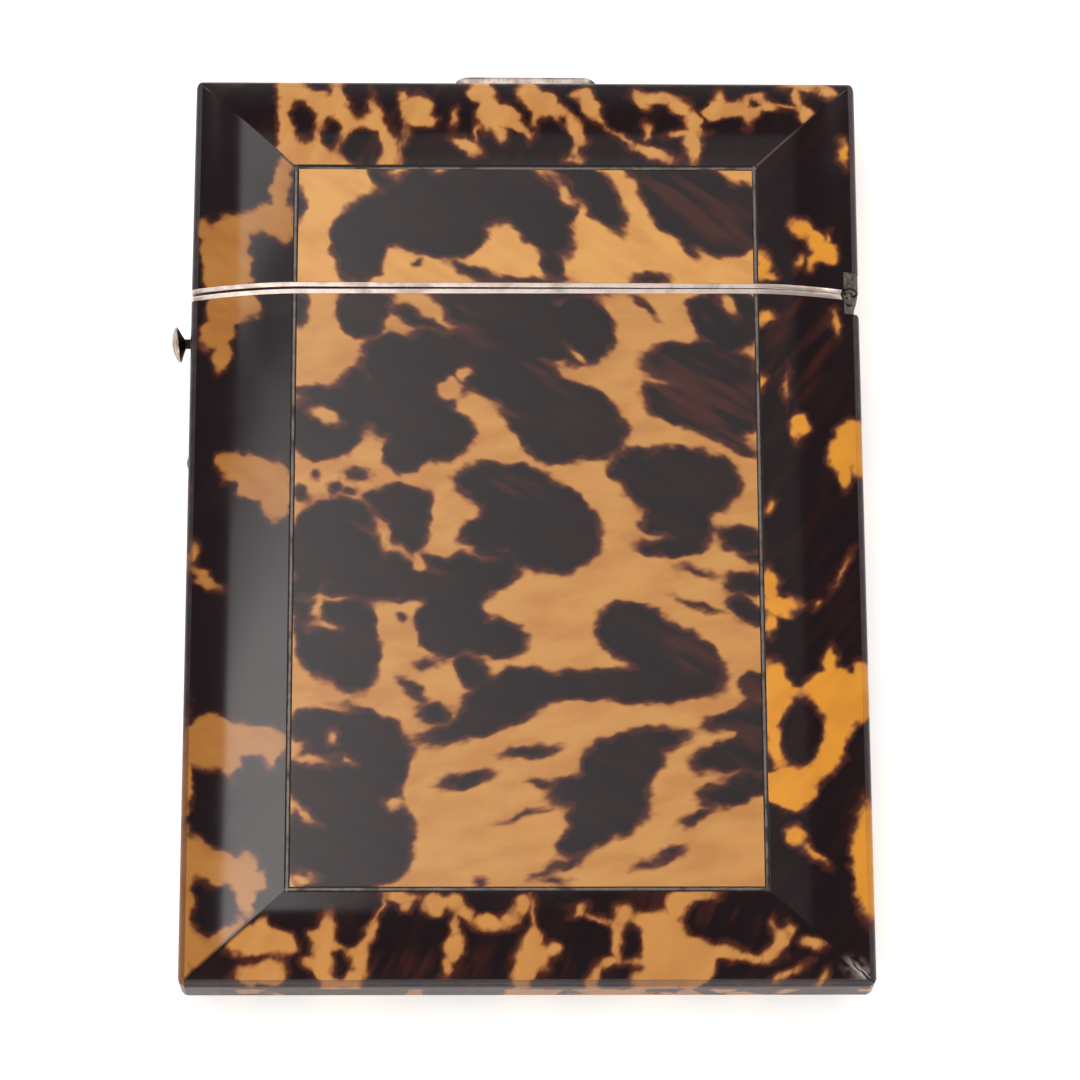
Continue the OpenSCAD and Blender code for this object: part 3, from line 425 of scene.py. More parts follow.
def mitre_lines(finish):
    """Distance from the nearest mitre line, in millimetres."""
    side = abs(finish.x) - PANEL_HALF
    upper = Vector((CASE_HALF_H - PANEL_TOP, PANEL_HALF - CASE_HALF_W)).normalized()
    lower = Vector((CASE_HALF_H + PANEL_LOW, CASE_HALF_W - PANEL_HALF)).normalized()
    return finish.sum(
        "MINIMUM",
        abs(side * upper.x + (finish.y - PANEL_TOP) * upper.y),
        abs(side * lower.x + (finish.y - PANEL_LOW) * lower.y),
    )


def mitred(finish, colour):
    """Mitre lines, pale at the upper right and worn at the lower right, where a painted highlight also lies
    on the corner.
    """
    away = mitre_lines(finish)
    pale = finish.rise(finish.x + finish.y, 60, 66) * finish.rise(finish.x + finish.y, 79, 74)
    open_joint = finish.rise(finish.x + finish.y, -66, -70) * 0.3
    line = finish.rise(away, open_joint + 0.17, 0.05)
    colour = finish.mix(line * 0.8, colour, finish.mix(pale, "#1D1411", "#655C58"))
    # At the lower right corner the shell is bruised and chipped, and both marks also paint a whitish
    # highlight on the corner's facets
    corner = finish.rise(finish.x - finish.y, 82.5, 87)
    bruise_and_highlight = finish.rise(away, 1.9, 0.2) * finish.patches((1.4, 0.7, 1), 0.38, 0.64, turn=-42, detail=3)
    colour = finish.mix(bruise_and_highlight * corner * 0.6, colour, "#978A82")
    chips_and_highlight = finish.rise(away, 0.5, 0.1) * finish.patches((2.5, 0.5, 1), 0.42, 0.56, turn=-42, detail=2)
    return finish.mix(chips_and_highlight * corner * 0.8, colour, "#D5CCC4")


def shell_finish(
    name,
    marks=None,
    sheet=DARK_SHEET,
    streaks=(-30, 12),
    amber=None,
    deep="#C6874A",
    dark=None,
    mitres=False,
    seed=0,
    brown=0,
    own=None,
    fade=1.6,
    polish=0.11,
    span=None,
):
    """Polished tortoiseshell with its marks, streaks, haze of scratches and mitre lines."""
    look = bpy.context.scene.card_case_shell
    brown_marks = BROWN_PLACES
    if span:
        marks = reaching(marks, *span)
        brown_marks = reaching(BROWN_PLACES, *span)
    finish = Finish(name, IOR=look.gloss_index)
    place = strayed(finish)
    upper, lower = (finish.noise((1.3, 0.5, 1.0), turn=turn, detail=1.0) for turn in streaks)
    streak = finish.between(finish.rise(finish.y, 4.0, -12.0), upper, lower)
    clouds = clouded(finish, streaks[0], seed)
    depth = inside(finish, marks, sheet, place) if marks else clouds
    if own:
        # Under this height in millimetres an edge strip leaves the marks of the face and has its own
        depth = finish.between(finish.rise(finish.z, own, own - fade), depth, clouds)
    depth = depth + (streak - 0.5) * 0.35
    amber_light = shade(amber) if amber else tuple(look.amber)
    clearest, cloudiest = (blend(amber_light, shade(deep), part) for part in (0.22, 0.82))
    colour = finish.mix(finish.patches((7, 3, 5), 0.35, 0.7, turn=streaks[1], detail=3), clearest, cloudiest)
    ground = shade(dark) if dark else tuple(look.dark)
    if brown:
        warm = finish.patches((9, 1.6, 4), 0.4, 0.7, turn=streaks[0] - 3, detail=1)
        warm = warm * (finish.rise(inside(finish, brown_marks, -1.5, place), -0.9, 0.8) * brown + 0.2)
        ground = finish.mix(warm, ground, "#43201A")
    # Reddish brown between clear shell and dark, dimmer where the clear shell is dim, which carries the
    # painted shade of the left border and left edge into it
    strength = min(max(amber_light[:3]) * 1.5, 1.0)
    colour = finish.mix(finish.rise(depth, *BURNT_STEP), colour, dimmed(shade("#A3683A"), strength))
    colour = finish.mix(finish.rise(depth, *RUST_STEP), colour, dimmed(shade("#552B1F"), strength))
    colour = finish.mix(finish.rise(depth, *DARK_STEP), colour, ground)
    # Fine scratches in two directions where the surface is worn, and a haze where the polish has gone
    scratch = finish.patches((7, 0.05, 0.5), 0.68, 0.76, turn=78, detail=1)
    scratch = finish.sum("MAXIMUM", scratch, finish.patches((5, 0.05, 0.5), 0.7, 0.78, turn=-38, detail=1))
    haze = finish.patches(9, 0.45, 0.75, detail=4)
    edge = finish.sum("MINIMUM", CASE_HALF_W - abs(finish.x), CASE_HALF_H - abs(finish.y))
    rubbed = finish.rise(edge, 0.9, 0.15) * finish.patches(1.5, 0.4, 0.7, detail=3)
    colour = finish.mix(rubbed * 0.14, colour, "#8B6A52")
    if mitres:
        colour = mitred(finish, colour)
    gloss = haze * 0.04 + scratch * haze * 0.1 + rubbed * 0.1 + polish
    height = scratch * haze * -0.5 + finish.noise(3, detail=2) * 0.1
    return finish.feed(Base_Color=colour, Roughness=gloss, Normal=finish.bump(height, 0.3, 0.006))


def metal_finish(
    name, bright, dull, roughness, grain=(6, 0.12, 0.12), pits=0.0, patina=0.5, shaded_back=None, dark_rim=None
):
    """Worn metal with grain, tarnish and dents; the back of the button's head is painted near black as
    shade, and the plate is darker along its upper edge and ends.
    """
    finish = Finish(name, Metallic=1.0)
    patch = finish.patches(2.2, 0.5 - patina * 0.25, 0.75, detail=4, distortion=0.4)
    fine = finish.noise(grain, detail=2)
    speck = finish.patches(0.35, 0.56, 0.66, detail=3)
    colour = finish.mix(patch, bright, dull)
    colour = finish.mix(fine * 0.3, colour, "#FFF3E6")
    colour = finish.mix(speck * pits, colour, "#2C2420")
    # Painted shade: the back of the button's head, from its face towards the case, is painted near black
    if shaded_back:
        behind = finish.x + (finish.y - BUTTON_Y) * BUTTON_LEAN
        colour = finish.mix(finish.rise(behind, shaded_back - 0.12, shaded_back + 0.06) * 0.93, colour, "#16110F")
    # The plate is darker along its upper edge and at both its ends, broken up by noise
    if dark_rim:
        middle, half, top = dark_rim
        end = finish.rise(abs(finish.x - middle), half - 1.3, half - 0.3)
        line = finish.rise(finish.y, top - 0.45, top - 0.1)
        broken_up = finish.patches(2.5, 0.35, 0.6, detail=3) * 0.4 + 0.55
        colour = finish.mix(finish.sum("MAXIMUM", end, line) * broken_up, colour, "#2A211C")
    rough = patch * 0.16 + speck * pits * 0.3 + fine * 0.08 + roughness
    height = fine * 0.6 - speck * pits * 1.6 + finish.noise(1.1, detail=3) * 1.2
    return finish.feed(Base_Color=colour, Roughness=rough, Normal=finish.bump(height, 0.5, 0.02))


def stringing_finish():
    """Tarnished metal line, brighter along its middle, with dark glue at both edges."""
    finish = Finish("Tarnished stringing", Metallic=0.35)
    from_side = abs(abs(finish.x) - PANEL_HALF)
    from_top = abs(finish.y - PANEL_TOP)
    from_low = abs(finish.y - PANEL_LOW)
    across = finish.sum("MINIMUM", from_side, finish.sum("MINIMUM", from_top, from_low))
    wobble = (finish.noise(0.8, detail=3) - 0.5) * 0.16
    middle = finish.rise(across + wobble, 0.19, 0.07)
    lost = finish.patches(2.5, 0.5, 0.7, detail=4)
    colour = finish.mix(middle, "#1C1613", finish.mix(lost, "#756C65", "#40372F"))
    rough = 0.55 - middle * 0.2
    height = middle + finish.noise(0.3, detail=2) * 0.5
    return finish.feed(Base_Color=colour, Roughness=rough, Normal=finish.bump(height, 0.6, 0.03))


def wood_finish():
    """Plain close-grained wood, greyed in patches."""
    finish = Finish("Plain carcass wood", Roughness=0.62)
    ring = finish.noise((2.4, 30, 2.4), detail=4, distortion=0.8)
    pore = finish.patches((0.12, 2.6, 0.12), 0.58, 0.7, detail=2)
    colour = finish.mix(finish.rise(ring, 0.3, 0.7), "#C39C6B", "#96703F")
    colour = finish.mix(pore * 0.6, colour, "#5C4028")
    greyed = finish.patches(8, 0.5, 0.8, detail=4)
    colour = finish.mix(greyed * 0.35, colour, "#7C6A58")
    return finish.feed(Base_Color=colour, Normal=finish.bump(ring * 0.5 - pore, 0.5, 0.04))


def silk_finish():
    """Ribbed silk, faded in patches and a little worn."""
    finish = Finish("Ribbed silk", Sheen_Weight=0.6, Sheen_Roughness=0.35, Sheen_Tint=shade("#F2B7B0"))
    rib = finish.wave("Y", 1, Scale=1.25, Distortion=0.6, Detail=2.0, Detail_Scale=0.6)
    warp = finish.wave("X", 0.35, Scale=1.0, Distortion=0.5, Detail=1.0)
    faded = finish.patches((7, 11, 5), 0.42, 0.7, detail=4)
    colour = finish.mix(faded, "#7A1D28", "#94404A")
    colour = finish.mix(rib * 0.28, colour, "#B7606A")
    colour = finish.mix(warp * 0.12, colour, "#3C0C14")
    rough = faded * 0.15 + 0.42
    return finish.feed(Base_Color=colour, Roughness=rough, Normal=finish.bump(rib + warp * 0.3, 0.6, 0.08))


def floor_finish(colour, glow):
    """Pale paper that glows a little, so that shadows on it stay faint."""
    colour = tuple(colour)
    light = {"Emission_Color": colour, "Emission_Strength": glow}
    finish = Finish("Pale floor", Roughness=0.7, Specular_IOR_Level=0.2, **light)
    tone = finish.noise(60, detail=3)
    return finish.feed(Base_Color=finish.mix(tone * 0.04, colour, "#E6E4E0"))


def pick(piece):
    bpy.ops.object.select_all(action="DESELECT")
    piece.select_set(True)
    bpy.context.view_layer.objects.active = piece


def edit(*steps):
    """Takes the active piece's whole mesh through edit mode's tools, each with its settings."""
    bpy.ops.object.mode_set(mode="EDIT")
    bpy.ops.mesh.select_all(action="SELECT")
    for tool, settings in steps:
        tool(**settings)
    bpy.ops.object.mode_set(mode="OBJECT")


def dress(piece, material):
    """Gives a piece one finish."""
    piece.data.materials.clear()
    piece.data.materials.append(material)


def merged_copy(node, name):
    """Copies a CAD node, joins its loose triangles and clears what is flat."""
    pick(frame["nodes"][node])
    bpy.ops.object.duplicate()
    piece = bpy.context.active_object
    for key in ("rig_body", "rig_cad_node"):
        if key in piece:
            del piece[key]
    bpy.ops.object.parent_clear(type="CLEAR_KEEP_TRANSFORM")
    piece.name = name
    piece.data.name = name
    bpy.ops.mesh.customdata_custom_splitnormals_clear()
    edit(
        (bpy.ops.mesh.remove_doubles, {"threshold": SAME_PLACE}),
        (bpy.ops.mesh.dissolve_limited, {"angle_limit": FLAT_TURN}),
    )
    return piece


def add_modifier(piece, kind, **settings):
    """Adds a modifier, sets it and applies it."""
    pick(piece)
    modifier = piece.modifiers.new(kind.title(), kind)
    for key, value in settings.items():
        setattr(modifier, key, value)
    bpy.ops.object.modifier_apply(modifier=modifier.name)


def softened(node, name, material, width, segments=2, sharp=24, cuts=()):
    """Puts a merged copy with softened edges, cut across at some heights, in the place of a CAD node."""
    body = body_of(node)
    piece = merged_copy(node, name)
    for height in cuts:
        edit((bpy.ops.mesh.bisect, {"plane_co": (0, height * MM, 0), "plane_no": (0, 1, 0)}))
    angle = math.radians(sharp)
    rounding = {"width": width, "segments": segments, "limit_method": "ANGLE", "angle_limit": angle}
    add_modifier(piece, "BEVEL", use_clamp_overlap=True, loop_slide=False, **rounding)
    pick(piece)
    bpy.ops.object.shade_smooth_by_angle(angle=angle)
    add_modifier(piece, "WEIGHTED_NORMAL", keep_sharp=True, weight=80)
    dress(piece, material)
    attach(piece, body)
    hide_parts(node)
    return piece


def fit(nodes, material, width, segments=2, sharp=24, ending="_metal"):
    """Softens fittings of one kind and gives them their finish."""
    for node in nodes:
        softened(node, node + ending, material, width, segments, sharp)


def body_of(node):
    for body, nodes in frame["record"]["behaviour"]["bodies"].items():
        if node in nodes:
            return body
    raise RuntimeError(f"{node} is on no body")


def number(name, description, default, **more):
    """A setting that is a number."""
    return bpy.props.FloatProperty(name=name, description=description, default=default, **more)


def length(name, description, default, **more):
    """A setting that is a length, given here in millimetres."""
    return number(name, description, default * MM, unit="LENGTH", **more)


def tint(name, description, default):
    """A setting that is a colour."""
    return bpy.props.FloatVectorProperty(
        name=name, description=description, default=shade(default), subtype="COLOR", size=4, min=0, max=1
    )


class ShellSettings(bpy.types.PropertyGroup):
    """Colours, gloss and edges of the tortoiseshell and its stringing."""

    amber: tint("Amber", "Clear ground of the shell", "#DDA35E")
    dark: tint("Dark", "Colour of the dark marks", "#1B1013")
    gloss_index: number("Index", "Refractive index of the polish", 1.5, min=1, max=2)
    edge_width: length("Edge", "Width rubbed off each edge of the shell", 0.05)
    line_edge: length("Line edge", "Width rubbed off each edge of the stringing", 0.06)


class MetalSettings(bpy.types.PropertyGroup):
    """Edges and polish of the metal fittings."""

    rim_edge: length("Rim edge", "Rounding of the rims", 0.14)
    plate_edge: length("Plate edge", "Rounding of the top plate", 0.09)
    fitting_edge: length("Fitting edge", "Rounding of leaves, pin, springs and keeper", 0.07)
    button_edge: length("Button edge", "Rounding of the button's head", 0.1)
    small_edge: length("Small edge", "Rounding of the bush, washer and rivet", 0.05)
    pin_edge: length("Pin edge", "Rounding of the small pins and the leaves' rivets", 0.04)
    polish: number("Polish", "Roughness of the white metal", 0.3, min=0, max=1, subtype="FACTOR")


class SilkSettings(bpy.types.PropertyGroup):
    """Padding of the silk inside the lid."""

    wrap: length("Wrap", "Rounding of the silk over the liner's edges", 0.16)
    crown: length("Crown", "How far the pads swell in their middle", 0.35, min=0, max=MM)
    flute: length("Flute", "Distance between the flutes of the pads", 2.4)
    fill: number("Fill", "How full the pads are", 0.35, min=0, max=1, subtype="FACTOR")


class StageSettings(bpy.types.PropertyGroup):
    """Camera, light and floor."""

    floor: tint("Floor", "Colour of the floor", "#FAF9F7")
    glow: number("Glow", "Light that the floor gives of itself", 0.5, min=0)
    window: number("Window", "Radiance of the window softbox", 3.6, min=0)
    bank: number("Banks", "Radiance of the low banks", 4.0, min=0)
    sky: number("Sky", "Brightness of the tent overhead", 0.14, min=0)
    horizon: number("Horizon", "Brightness of the tent low down", 0.7, min=0)
    lens: number("Lens", "Focal length of the camera", 146.75, min=1, unit="CAMERA")
    shift: number("Shift", "Sideways shift of the lens, in widths of the picture", 0.01318)
    place: bpy.props.FloatVectorProperty(
        name="Camera",
        description="Place of the camera",
        default=(-0.00479, -0.14471, 0.47285),
        subtype="TRANSLATION",
    )
    turn: bpy.props.FloatVectorProperty(
        name="Turn",
        description="Turn of the camera",
        default=[math.radians(angle) for angle in (17.031, -0.534, -0.169)],
        subtype="EULER",
    )


# Nearest that the camera sees, width of the floor and how far it lies under the case, in metres
NEAR_CLIP = 0.01
FLOOR_SIZE = 4
FLOOR_DROP = 0.00005
# Heights of the tent's light, as a share of straight up, between which it goes from horizon to sky
TENT_HEIGHTS = (0.25, 0.62)
WARM_LIGHT = (1.0, 0.955, 0.945)

# Softboxes overhead, mirrored in the dark shell from its left border to its right one, each with its span
# of x and of y in metres and its share of the window's radiance
OVERHEAD_LIGHT = (
    ("window_softbox", (-0.66, -0.13), (-0.10, 0.30), 1.04),
    ("upper_window_softbox", (-0.66, -0.13), (0.30, 0.37), 0.5),
    ("lid_softbox", (-0.62, -0.13), (0.43, 0.56), 0.62),
    ("middle_softbox", (-0.13, -0.055), (-0.10, 0.56), 0.68),
    ("faint_softbox", (-0.06, 0.10), (0.10, 0.66), 0.19),
    ("rear_softbox", (-0.70, 0.20), (0.56, 0.95), 0.11),
    ("side_softbox", (0.10, 0.50), (0.10, 0.50), 0.07),
)
OVERHEAD_HEIGHT = 1.0
# A softbox nearer to the middle than this faces straight down
OVERHEAD_REACH = 0.8

# Banks that light the case from where no polished face looks, with place, width and depth in metres
BANKS = (
    ("front_bank", (0, -1.25, 0.9), 2.2, 0.5),
    ("left_bank", (-0.85, 1.05, 0.8), 0.7, 0.7),
    ("right_bank", (0.85, 1.05, 0.8), 0.7, 0.7),
)


class CARDCASE_OT_stage(bpy.types.Operator):
    """Set the camera, the soft studio light and the pale floor"""

    bl_idname = "cardcase.stage"
    bl_label = "Stage"

    def execute(self, context):
        look = context.scene.card_case_stage
        self.camera(context, look)
        self.tent(context, look)
        for name, (left, right), (near, far), share in OVERHEAD_LIGHT:
            middle = Vector(((left + right) / 2, (near + far) / 2, OVERHEAD_HEIGHT))
            self.softbox(name, middle, right - left, far - near, look.window * share)
        for name, place, width, depth in BANKS:
            self.softbox(name, Vector(place), width, depth, look.bank)
        self.floor(context, look)
        context.scene.view_settings.view_transform = "Standard"
        return {"FINISHED"}

    def camera(self, context, look):
        bpy.ops.object.camera_add(location=look.place, rotation=look.turn)
        camera = context.active_object
        camera.name = "photograph_camera"
        lens = camera.data
        lens.lens = look.lens
        lens.shift_x = look.shift
        lens.clip_start = NEAR_CLIP
        context.scene.camera = camera

    def floor(self, context, look):
        bpy.ops.mesh.primitive_plane_add(size=FLOOR_SIZE, location=(0, 0, -FLOOR_DROP))
        floor = context.active_object
        floor.name = "floor"
        bpy.ops.object.transform_apply(location=True, rotation=True, scale=True)
        floor.data.materials.append(floor_finish(look.floor, look.glow))

    def tent(self, context, look):
        """White tent round the case, brighter low down than overhead."""
        world = context.scene.world or bpy.data.worlds.new("Tent")
        context.scene.world = world
        world.use_nodes = True
        world.node_tree.nodes.clear()
        sky = Tree(world.node_tree)
        where = sky.node("ShaderNodeTexCoord", output="Generated")
        up = sky.node("ShaderNodeSeparateXYZ", values={0: where}, output="Z")
        low, high = TENT_HEIGHTS
        ends = {"Value": up, "From Min": low, "From Max": high, "To Min": look.horizon, "To Max": look.sky}
        light = sky.node("ShaderNodeMapRange", {"interpolation_type": "SMOOTHSTEP"}, ends)
        glow = sky.node("ShaderNodeBackground", values={"Strength": light})
        sky.node("ShaderNodeOutputWorld", values={"Surface": glow})

    def softbox(self, name, centre, width, depth, radiance):
        """A rectangular softbox that faces the case, or straight down when it hangs overhead."""
        overhead = math.hypot(centre.x, centre.y) < OVERHEAD_REACH
        turn = (0, 0, 0) if overhead else centre.to_track_quat("Z", "Y").to_euler()
        bpy.ops.object.light_add(type="AREA", location=centre, rotation=turn)
        lamp = bpy.context.active_object
        lamp.name = name
        light = lamp.data
        light.shape = "RECTANGLE"
        light.color = WARM_LIGHT
        light.size = width
        light.size_y = depth
        # The power of an area light is its radiance times its area times pi
        light.energy = radiance * width * depth * math.pi


PANEL = dict(sheet=AMBER_SHEET, brown=0.9, polish=0.2)
LEFT = dict(marks=LEFT_BORDER_MARKS, streaks=(-35, -35))
RIGHT = dict(marks=RIGHT_BORDER_MARKS, streaks=(55, 45))
TOP = dict(marks=TOP_BORDER_MARKS, streaks=(72, 72))
BOTTOM = dict(marks=BOTTOM_BORDER_MARKS, streaks=(70, 66))

# Each sheet of shell and how it differs from the plain one
SHEETS = {
    "lid panel": dict(PANEL, marks=LID_PANEL_MARKS, streaks=(-35, -30), amber="#E7AC5E", deep="#D0904B"),
    # Painted shade: the left border's clear shell is darker, as shade where the border curves down towards
    # its outer edge
    "left border": dict(LEFT, amber="#B9803F", deep="#A56B33", mitres=True),
    "right border": dict(RIGHT, amber="#EFA238", deep="#D98F35", mitres=True, brown=0.7),
    # Painted shade: the left edge strip's clear shell is darker still, going on from the shade of the left
    # border
    "left edge": dict(LEFT, amber="#8A5A30", deep="#7A4A28", dark="#221A1C", own=7.2, seed=40, polish=0.3),
    "right edge": dict(
        RIGHT, amber="#E09A3A", deep="#C5812F", dark="#3A3035", own=7.2, seed=55, polish=0.34
    ),
    "top border": dict(TOP, mitres=True, brown=0.6, span=(40, 54)),
    "bottom border": dict(BOTTOM, amber="#D89B54", mitres=True, brown=0.8, span=(-54, -42)),
    "top edge": dict(TOP, own=7.2, seed=80, polish=0.25),
    "bottom edge": dict(
        BOTTOM, amber="#A8733F", deep="#8E5F38", dark="#261E20", own=6.5, fade=0.5, seed=95, polish=0.42
    ),
    "back panel": dict(streaks=(-25, 10), seed=10),
    "back left border": dict(streaks=(80, 75), seed=130, mitres=True),
    "back right border": dict(streaks=(60, 80), seed=170, mitres=True),
    "back ends": dict(streaks=(30, 30), seed=200, mitres=True),
}

# The nodes that each sheet covers
FRONT_SHELL = [("lid_front_panel", "lid panel")]
BACK_SHELL = [("lid_back_panel", "back panel"), ("body_back_panel", "back panel")]
for part in ("lid", "body"):
    FRONT_SHELL += [(f"{part}_front_{side}", side + " border") for side in ("left", "right")]
    FRONT_SHELL += [(f"{part}_{side}_strip", side + " edge") for side in ("left", "right")]
FRONT_SHELL += [("lid_front_top", "top border"), ("body_front_bottom", "bottom border")]
FRONT_SHELL += [("lid_top_strip", "top edge"), ("body_bottom_strip", "bottom edge")]
for side in ("left", "right"):
    BACK_SHELL += [(f"{part}_back_{side}", f"back {side} border") for part in ("lid", "body")]
BACK_SHELL += [("lid_back_top", "back ends"), ("body_back_bottom", "back ends")]

# The body panel is one sheet whose marks are worked in three bands, from the top down
BODY_BANDS = ((8, 40), (-14, 8), (-60, -14))
BODY_PANEL = dict(PANEL, marks=BODY_PANEL_MARKS, streaks=(-28, 13), amber="#D69D57", deep="#BF8144")


def lay_shell(nodes, edge_width):
    """Lays each node's sheet on it and makes each sheet once."""
    made = {}
    for node, sheet in nodes:
        if sheet not in made:
            made[sheet] = shell_finish("Tortoiseshell of the " + sheet, **SHEETS[sheet])
        softened(node, node + "_veneer", made[sheet], edge_width)


class CARDCASE_OT_front_shell(bpy.types.Operator):
    """Lay the marked tortoiseshell on the front and round the edge"""

    bl_idname = "cardcase.front_shell"
    bl_label = "Front and edge shell"

    def execute(self, context):
        look = context.scene.card_case_shell
        lay_shell(FRONT_SHELL, look.edge_width)
        self.body_panel(look.edge_width)
        return {"FINISHED"}

    def body_panel(self, edge_width):
        """Cuts the sheet at the bands' borders and gives each band its finish."""
        bands = [
            shell_finish(f"Tortoiseshell of the body panel {i}", span=span, **BODY_PANEL)
            for i, span in enumerate(BODY_BANDS, 1)
        ]
        cuts = [low for low, _ in BODY_BANDS[:-1]]
        node = "body_front_panel"
        panel = softened(node, node + "_veneer", bands[0], edge_width, cuts=cuts)
        for band in bands[1:]:
            panel.data.materials.append(band)
        for face in panel.data.polygons:
            face.material_index = sum(face.center.y / MM < cut for cut in cuts)


class CARDCASE_OT_back_shell(bpy.types.Operator):
    """Lay tortoiseshell on the back"""

    bl_idname = "cardcase.back_shell"
    bl_label = "Back shell"

    def execute(self, context):
        lay_shell(BACK_SHELL, context.scene.card_case_shell.edge_width)
        return {"FINISHED"}


class CARDCASE_OT_stringing(bpy.types.Operator):
    """Let the tarnished line in round each panel"""

    bl_idname = "cardcase.stringing"
    bl_label = "Stringing"

    def execute(self, context):
        lines = [f"{part}_{face}_stringing" for part in ("body", "lid") for face in ("front", "back")]
        fit(lines, stringing_finish(), context.scene.card_case_shell.line_edge, ending="_line")
        return {"FINISHED"}


class CARDCASE_OT_rims(bpy.types.Operator):
    """Face both sides of the seam with white metal, and the top end with its plate"""

    bl_idname = "cardcase.rims"
    bl_label = "White metal rims and top plate"

    def execute(self, context):
        look = context.scene.card_case_metal
        metal = metal_finish("Worn white metal", "#E6D5CB", "#B4A195", look.polish, (5, 0.1, 0.1), pits=0.12)
        fit(("body_rim", "lid_rim"), metal, look.rim_edge, 3)
        low, high = ((corner.x / MM, corner.y / MM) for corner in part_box("top_plate"))
        edge = ((low[0] + high[0]) / 2, (high[0] - low[0]) / 2, high[1])
        plate = metal_finish(
            "Plate metal", "#EADCD1", "#AE9C90", look.polish + 0.04, (4, 0.1, 0.4), pits=0.3, dark_rim=edge
        )
        fit(("top_plate",), plate, look.plate_edge, 3)
        return {"FINISHED"}


class CARDCASE_OT_hinge(bpy.types.Operator):
    """Dull the hinge's knuckles, wings, pin and rivets"""

    bl_idname = "cardcase.hinge"
    bl_label = "Hinge"

    def execute(self, context):
        look = context.scene.card_case_metal
        leaf = metal_finish(
            "Browned hinge metal", "#4E4039", "#221A17", 0.62, (0.5, 0.5, 0.1), pits=0.9, patina=0.7
        )
        pin = metal_finish("Hinge pin steel", "#6A5E56", "#3A302B", 0.55, (0.1, 0.1, 3), pits=0.8)
        brass = metal_finish("Aged brass", "#C6A35A", "#6F562C", 0.32, 0.4, pits=0.5)
        fit(("hinge_body_leaf", "hinge_lid_leaf"), leaf, look.fitting_edge)
        fit(("hinge_pin",), pin, look.fitting_edge, 3)
        fit(("hinge_body_rivets", "hinge_lid_rivets"), brass, look.pin_edge)
        return {"FINISHED"}


class CARDCASE_OT_button(bpy.types.Operator):
    """Soften and wear the push button, its bush, its washer and the rivet below it"""

    bl_idname = "cardcase.button"
    bl_label = "Push button"

    def execute(self, context):
        look = context.scene.card_case_metal
        # The back of the head, towards the case, is painted near black as shade
        head = metal_finish(
            "Rubbed button metal", "#B5A294", "#6A5A50", 0.36, (0.3, 0.15, 0.15), pits=0.5, shaded_back=BUTTON_BACK
        )
        dark = metal_finish(
            "Dark bush metal", "#40362F", "#1C1715", 0.45, (0.3, 0.1, 0.1), pits=0.6, patina=0.8
        )
        steel = metal_finish("Washer steel", "#9A9A9C", "#55565A", 0.33, 0.2, pits=0.4)
        fit(("push_button",), head, look.button_edge, 3, sharp=35)
        fit(("button_bush", "catch_rivet"), dark, look.small_edge)
        fit(("button_washer",), steel, look.small_edge)
        return {"FINISHED"}


class CARDCASE_OT_catch(bpy.types.Operator):
    """Blue the catch spring and age the keeper"""

    bl_idname = "cardcase.catch"
    bl_label = "Catch"

    def execute(self, context):
        look = context.scene.card_case_metal
        spring = metal_finish("Blued spring steel", "#8A8E96", "#4B4E58", 0.28, (0.1, 5, 0.1), pits=0.4)
        brass = metal_finish("Keeper brass", "#C8A662", "#7C6234", 0.3, (0.1, 4, 0.1), pits=0.4)
        fit(("catch_foot", "catch_arm"), spring, look.fitting_edge)
        fit(("keeper",), brass, look.fitting_edge)
        fit(("keeper_pins",), spring, look.pin_edge)
        return {"FINISHED"}


class CARDCASE_OT_carcass(bpy.types.Operator):
    """Finish the bare wooden boards"""

    bl_idname = "cardcase.carcass"
    bl_label = "Carcass"

    def execute(self, context):
        material = wood_finish()
        for name, node in frame["nodes"].items():
            if name.endswith("_board"):
                node.data.materials.clear()
                node.data.materials.append(material)
        return {"FINISHED"}


# Cuts along each side of a pad, how square its crown is and what share of the crown its flutes take
PAD_CUTS = 24
PAD_SQUARENESS = 6
FLUTE_DEPTH = 0.25


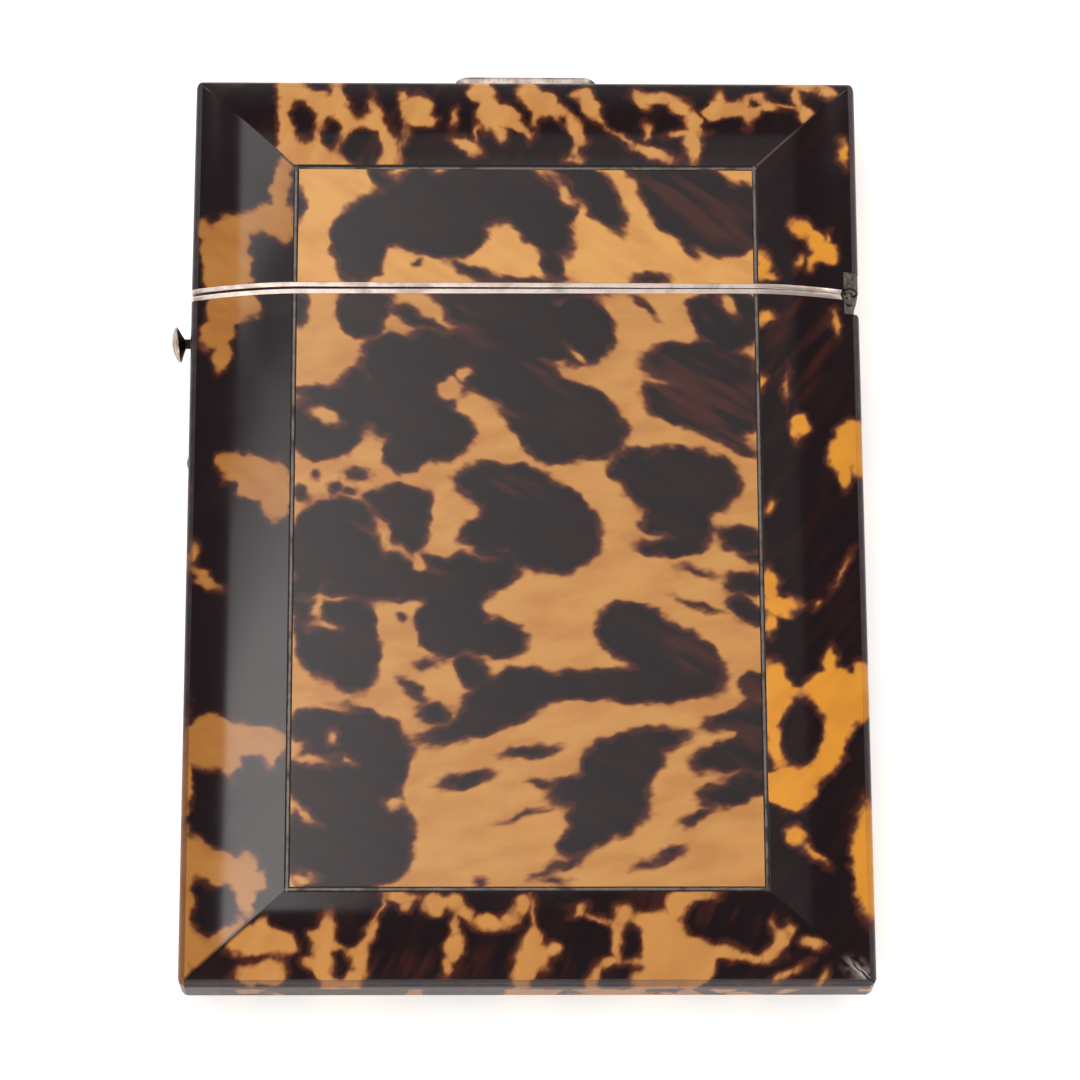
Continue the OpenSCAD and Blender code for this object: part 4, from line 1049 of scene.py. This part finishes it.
class CARDCASE_OT_liner(bpy.types.Operator):
    """Wrap the liner boards in ribbed silk and pad the inside of the lid"""

    bl_idname = "cardcase.liner"
    bl_label = "Silk liner and pads"

    def execute(self, context):
        look = context.scene.card_case_silk
        material = silk_finish()
        boards = ["liner_" + side for side in ("front", "back", "left", "right", "bottom")]
        fit(boards, material, look.wrap, 3, ending="_silk")
        for side, inward in (("front", -1), ("back", 1)):
            self.pad(f"lid_{side}_lining", inward, look, material)
        return {"FINISHED"}

    def pad(self, node, inward, look, material):
        """A thin padded silk panel, crowned towards the cards and pulled down at its edge."""
        low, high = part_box(node)
        pad = merged_copy(node, node + "_silk")
        pick(pad)
        edit((bpy.ops.mesh.subdivide, {"number_cuts": PAD_CUTS}))
        centre = (low + high) / 2
        half = (high - low) / 2
        for vertex in pad.data.vertices:
            across = 1 - abs((vertex.co.x - centre.x) / half.x) ** PAD_SQUARENESS
            along = 1 - abs((vertex.co.y - centre.y) / half.y) ** PAD_SQUARENESS
            swell = max(across, 0) ** 0.5 * max(along, 0) ** 0.5
            if (vertex.co.z - centre.z) * inward > 0:
                flute = 1 - FLUTE_DEPTH + FLUTE_DEPTH * math.cos(vertex.co.x / look.flute * math.tau)
                vertex.co.z += inward * look.crown * swell * flute
                vertex.co.z -= inward * half.z * (1 - swell)
        pick(pad)
        bpy.ops.object.shade_smooth_by_angle(angle=math.radians(40))
        dress(pad, material)
        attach(pad, "lid")
        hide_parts(node)


class CARDCASE_PT_panel(bpy.types.Panel):
    """Everything that dresses the card case"""

    bl_idname = "CARDCASE_PT_panel"
    bl_label = "Card case"
    bl_space_type = "VIEW_3D"
    bl_region_type = "UI"
    bl_category = "Card case"

    def draw(self, context):
        for key in GROUPS:
            group = getattr(context.scene, key)
            box = self.layout.box()
            for name in group.__annotations__:
                box.prop(group, name)
        for operator in OPERATORS:
            self.layout.operator(operator.bl_idname)


GROUPS = {
    "card_case_shell": ShellSettings,
    "card_case_metal": MetalSettings,
    "card_case_silk": SilkSettings,
    "card_case_stage": StageSettings,
}
OPERATORS = (
    CARDCASE_OT_stage,
    CARDCASE_OT_front_shell,
    CARDCASE_OT_back_shell,
    CARDCASE_OT_stringing,
    CARDCASE_OT_rims,
    CARDCASE_OT_hinge,
    CARDCASE_OT_button,
    CARDCASE_OT_catch,
    CARDCASE_OT_carcass,
    CARDCASE_OT_liner,
)


def register():
    for group in GROUPS.values():
        bpy.utils.register_class(group)
    for name, group in GROUPS.items():
        setattr(bpy.types.Scene, name, bpy.props.PointerProperty(type=group))
    for operator in OPERATORS:
        bpy.utils.register_class(operator)
    bpy.utils.register_class(CARDCASE_PT_panel)


def unregister():
    bpy.utils.unregister_class(CARDCASE_PT_panel)
    for operator in reversed(OPERATORS):
        bpy.utils.unregister_class(operator)
    for name in GROUPS:
        delattr(bpy.types.Scene, name)
    for group in reversed(list(GROUPS.values())):
        bpy.utils.unregister_class(group)


def main():
    register()
    bpy.ops.cardcase.stage()
    bpy.ops.cardcase.front_shell()
    bpy.ops.cardcase.back_shell()
    bpy.ops.cardcase.stringing()
    bpy.ops.cardcase.rims()
    bpy.ops.cardcase.hinge()
    bpy.ops.cardcase.button()
    bpy.ops.cardcase.catch()
    bpy.ops.cardcase.carcass()
    bpy.ops.cardcase.liner()


if __name__ == "__main__":
    main()
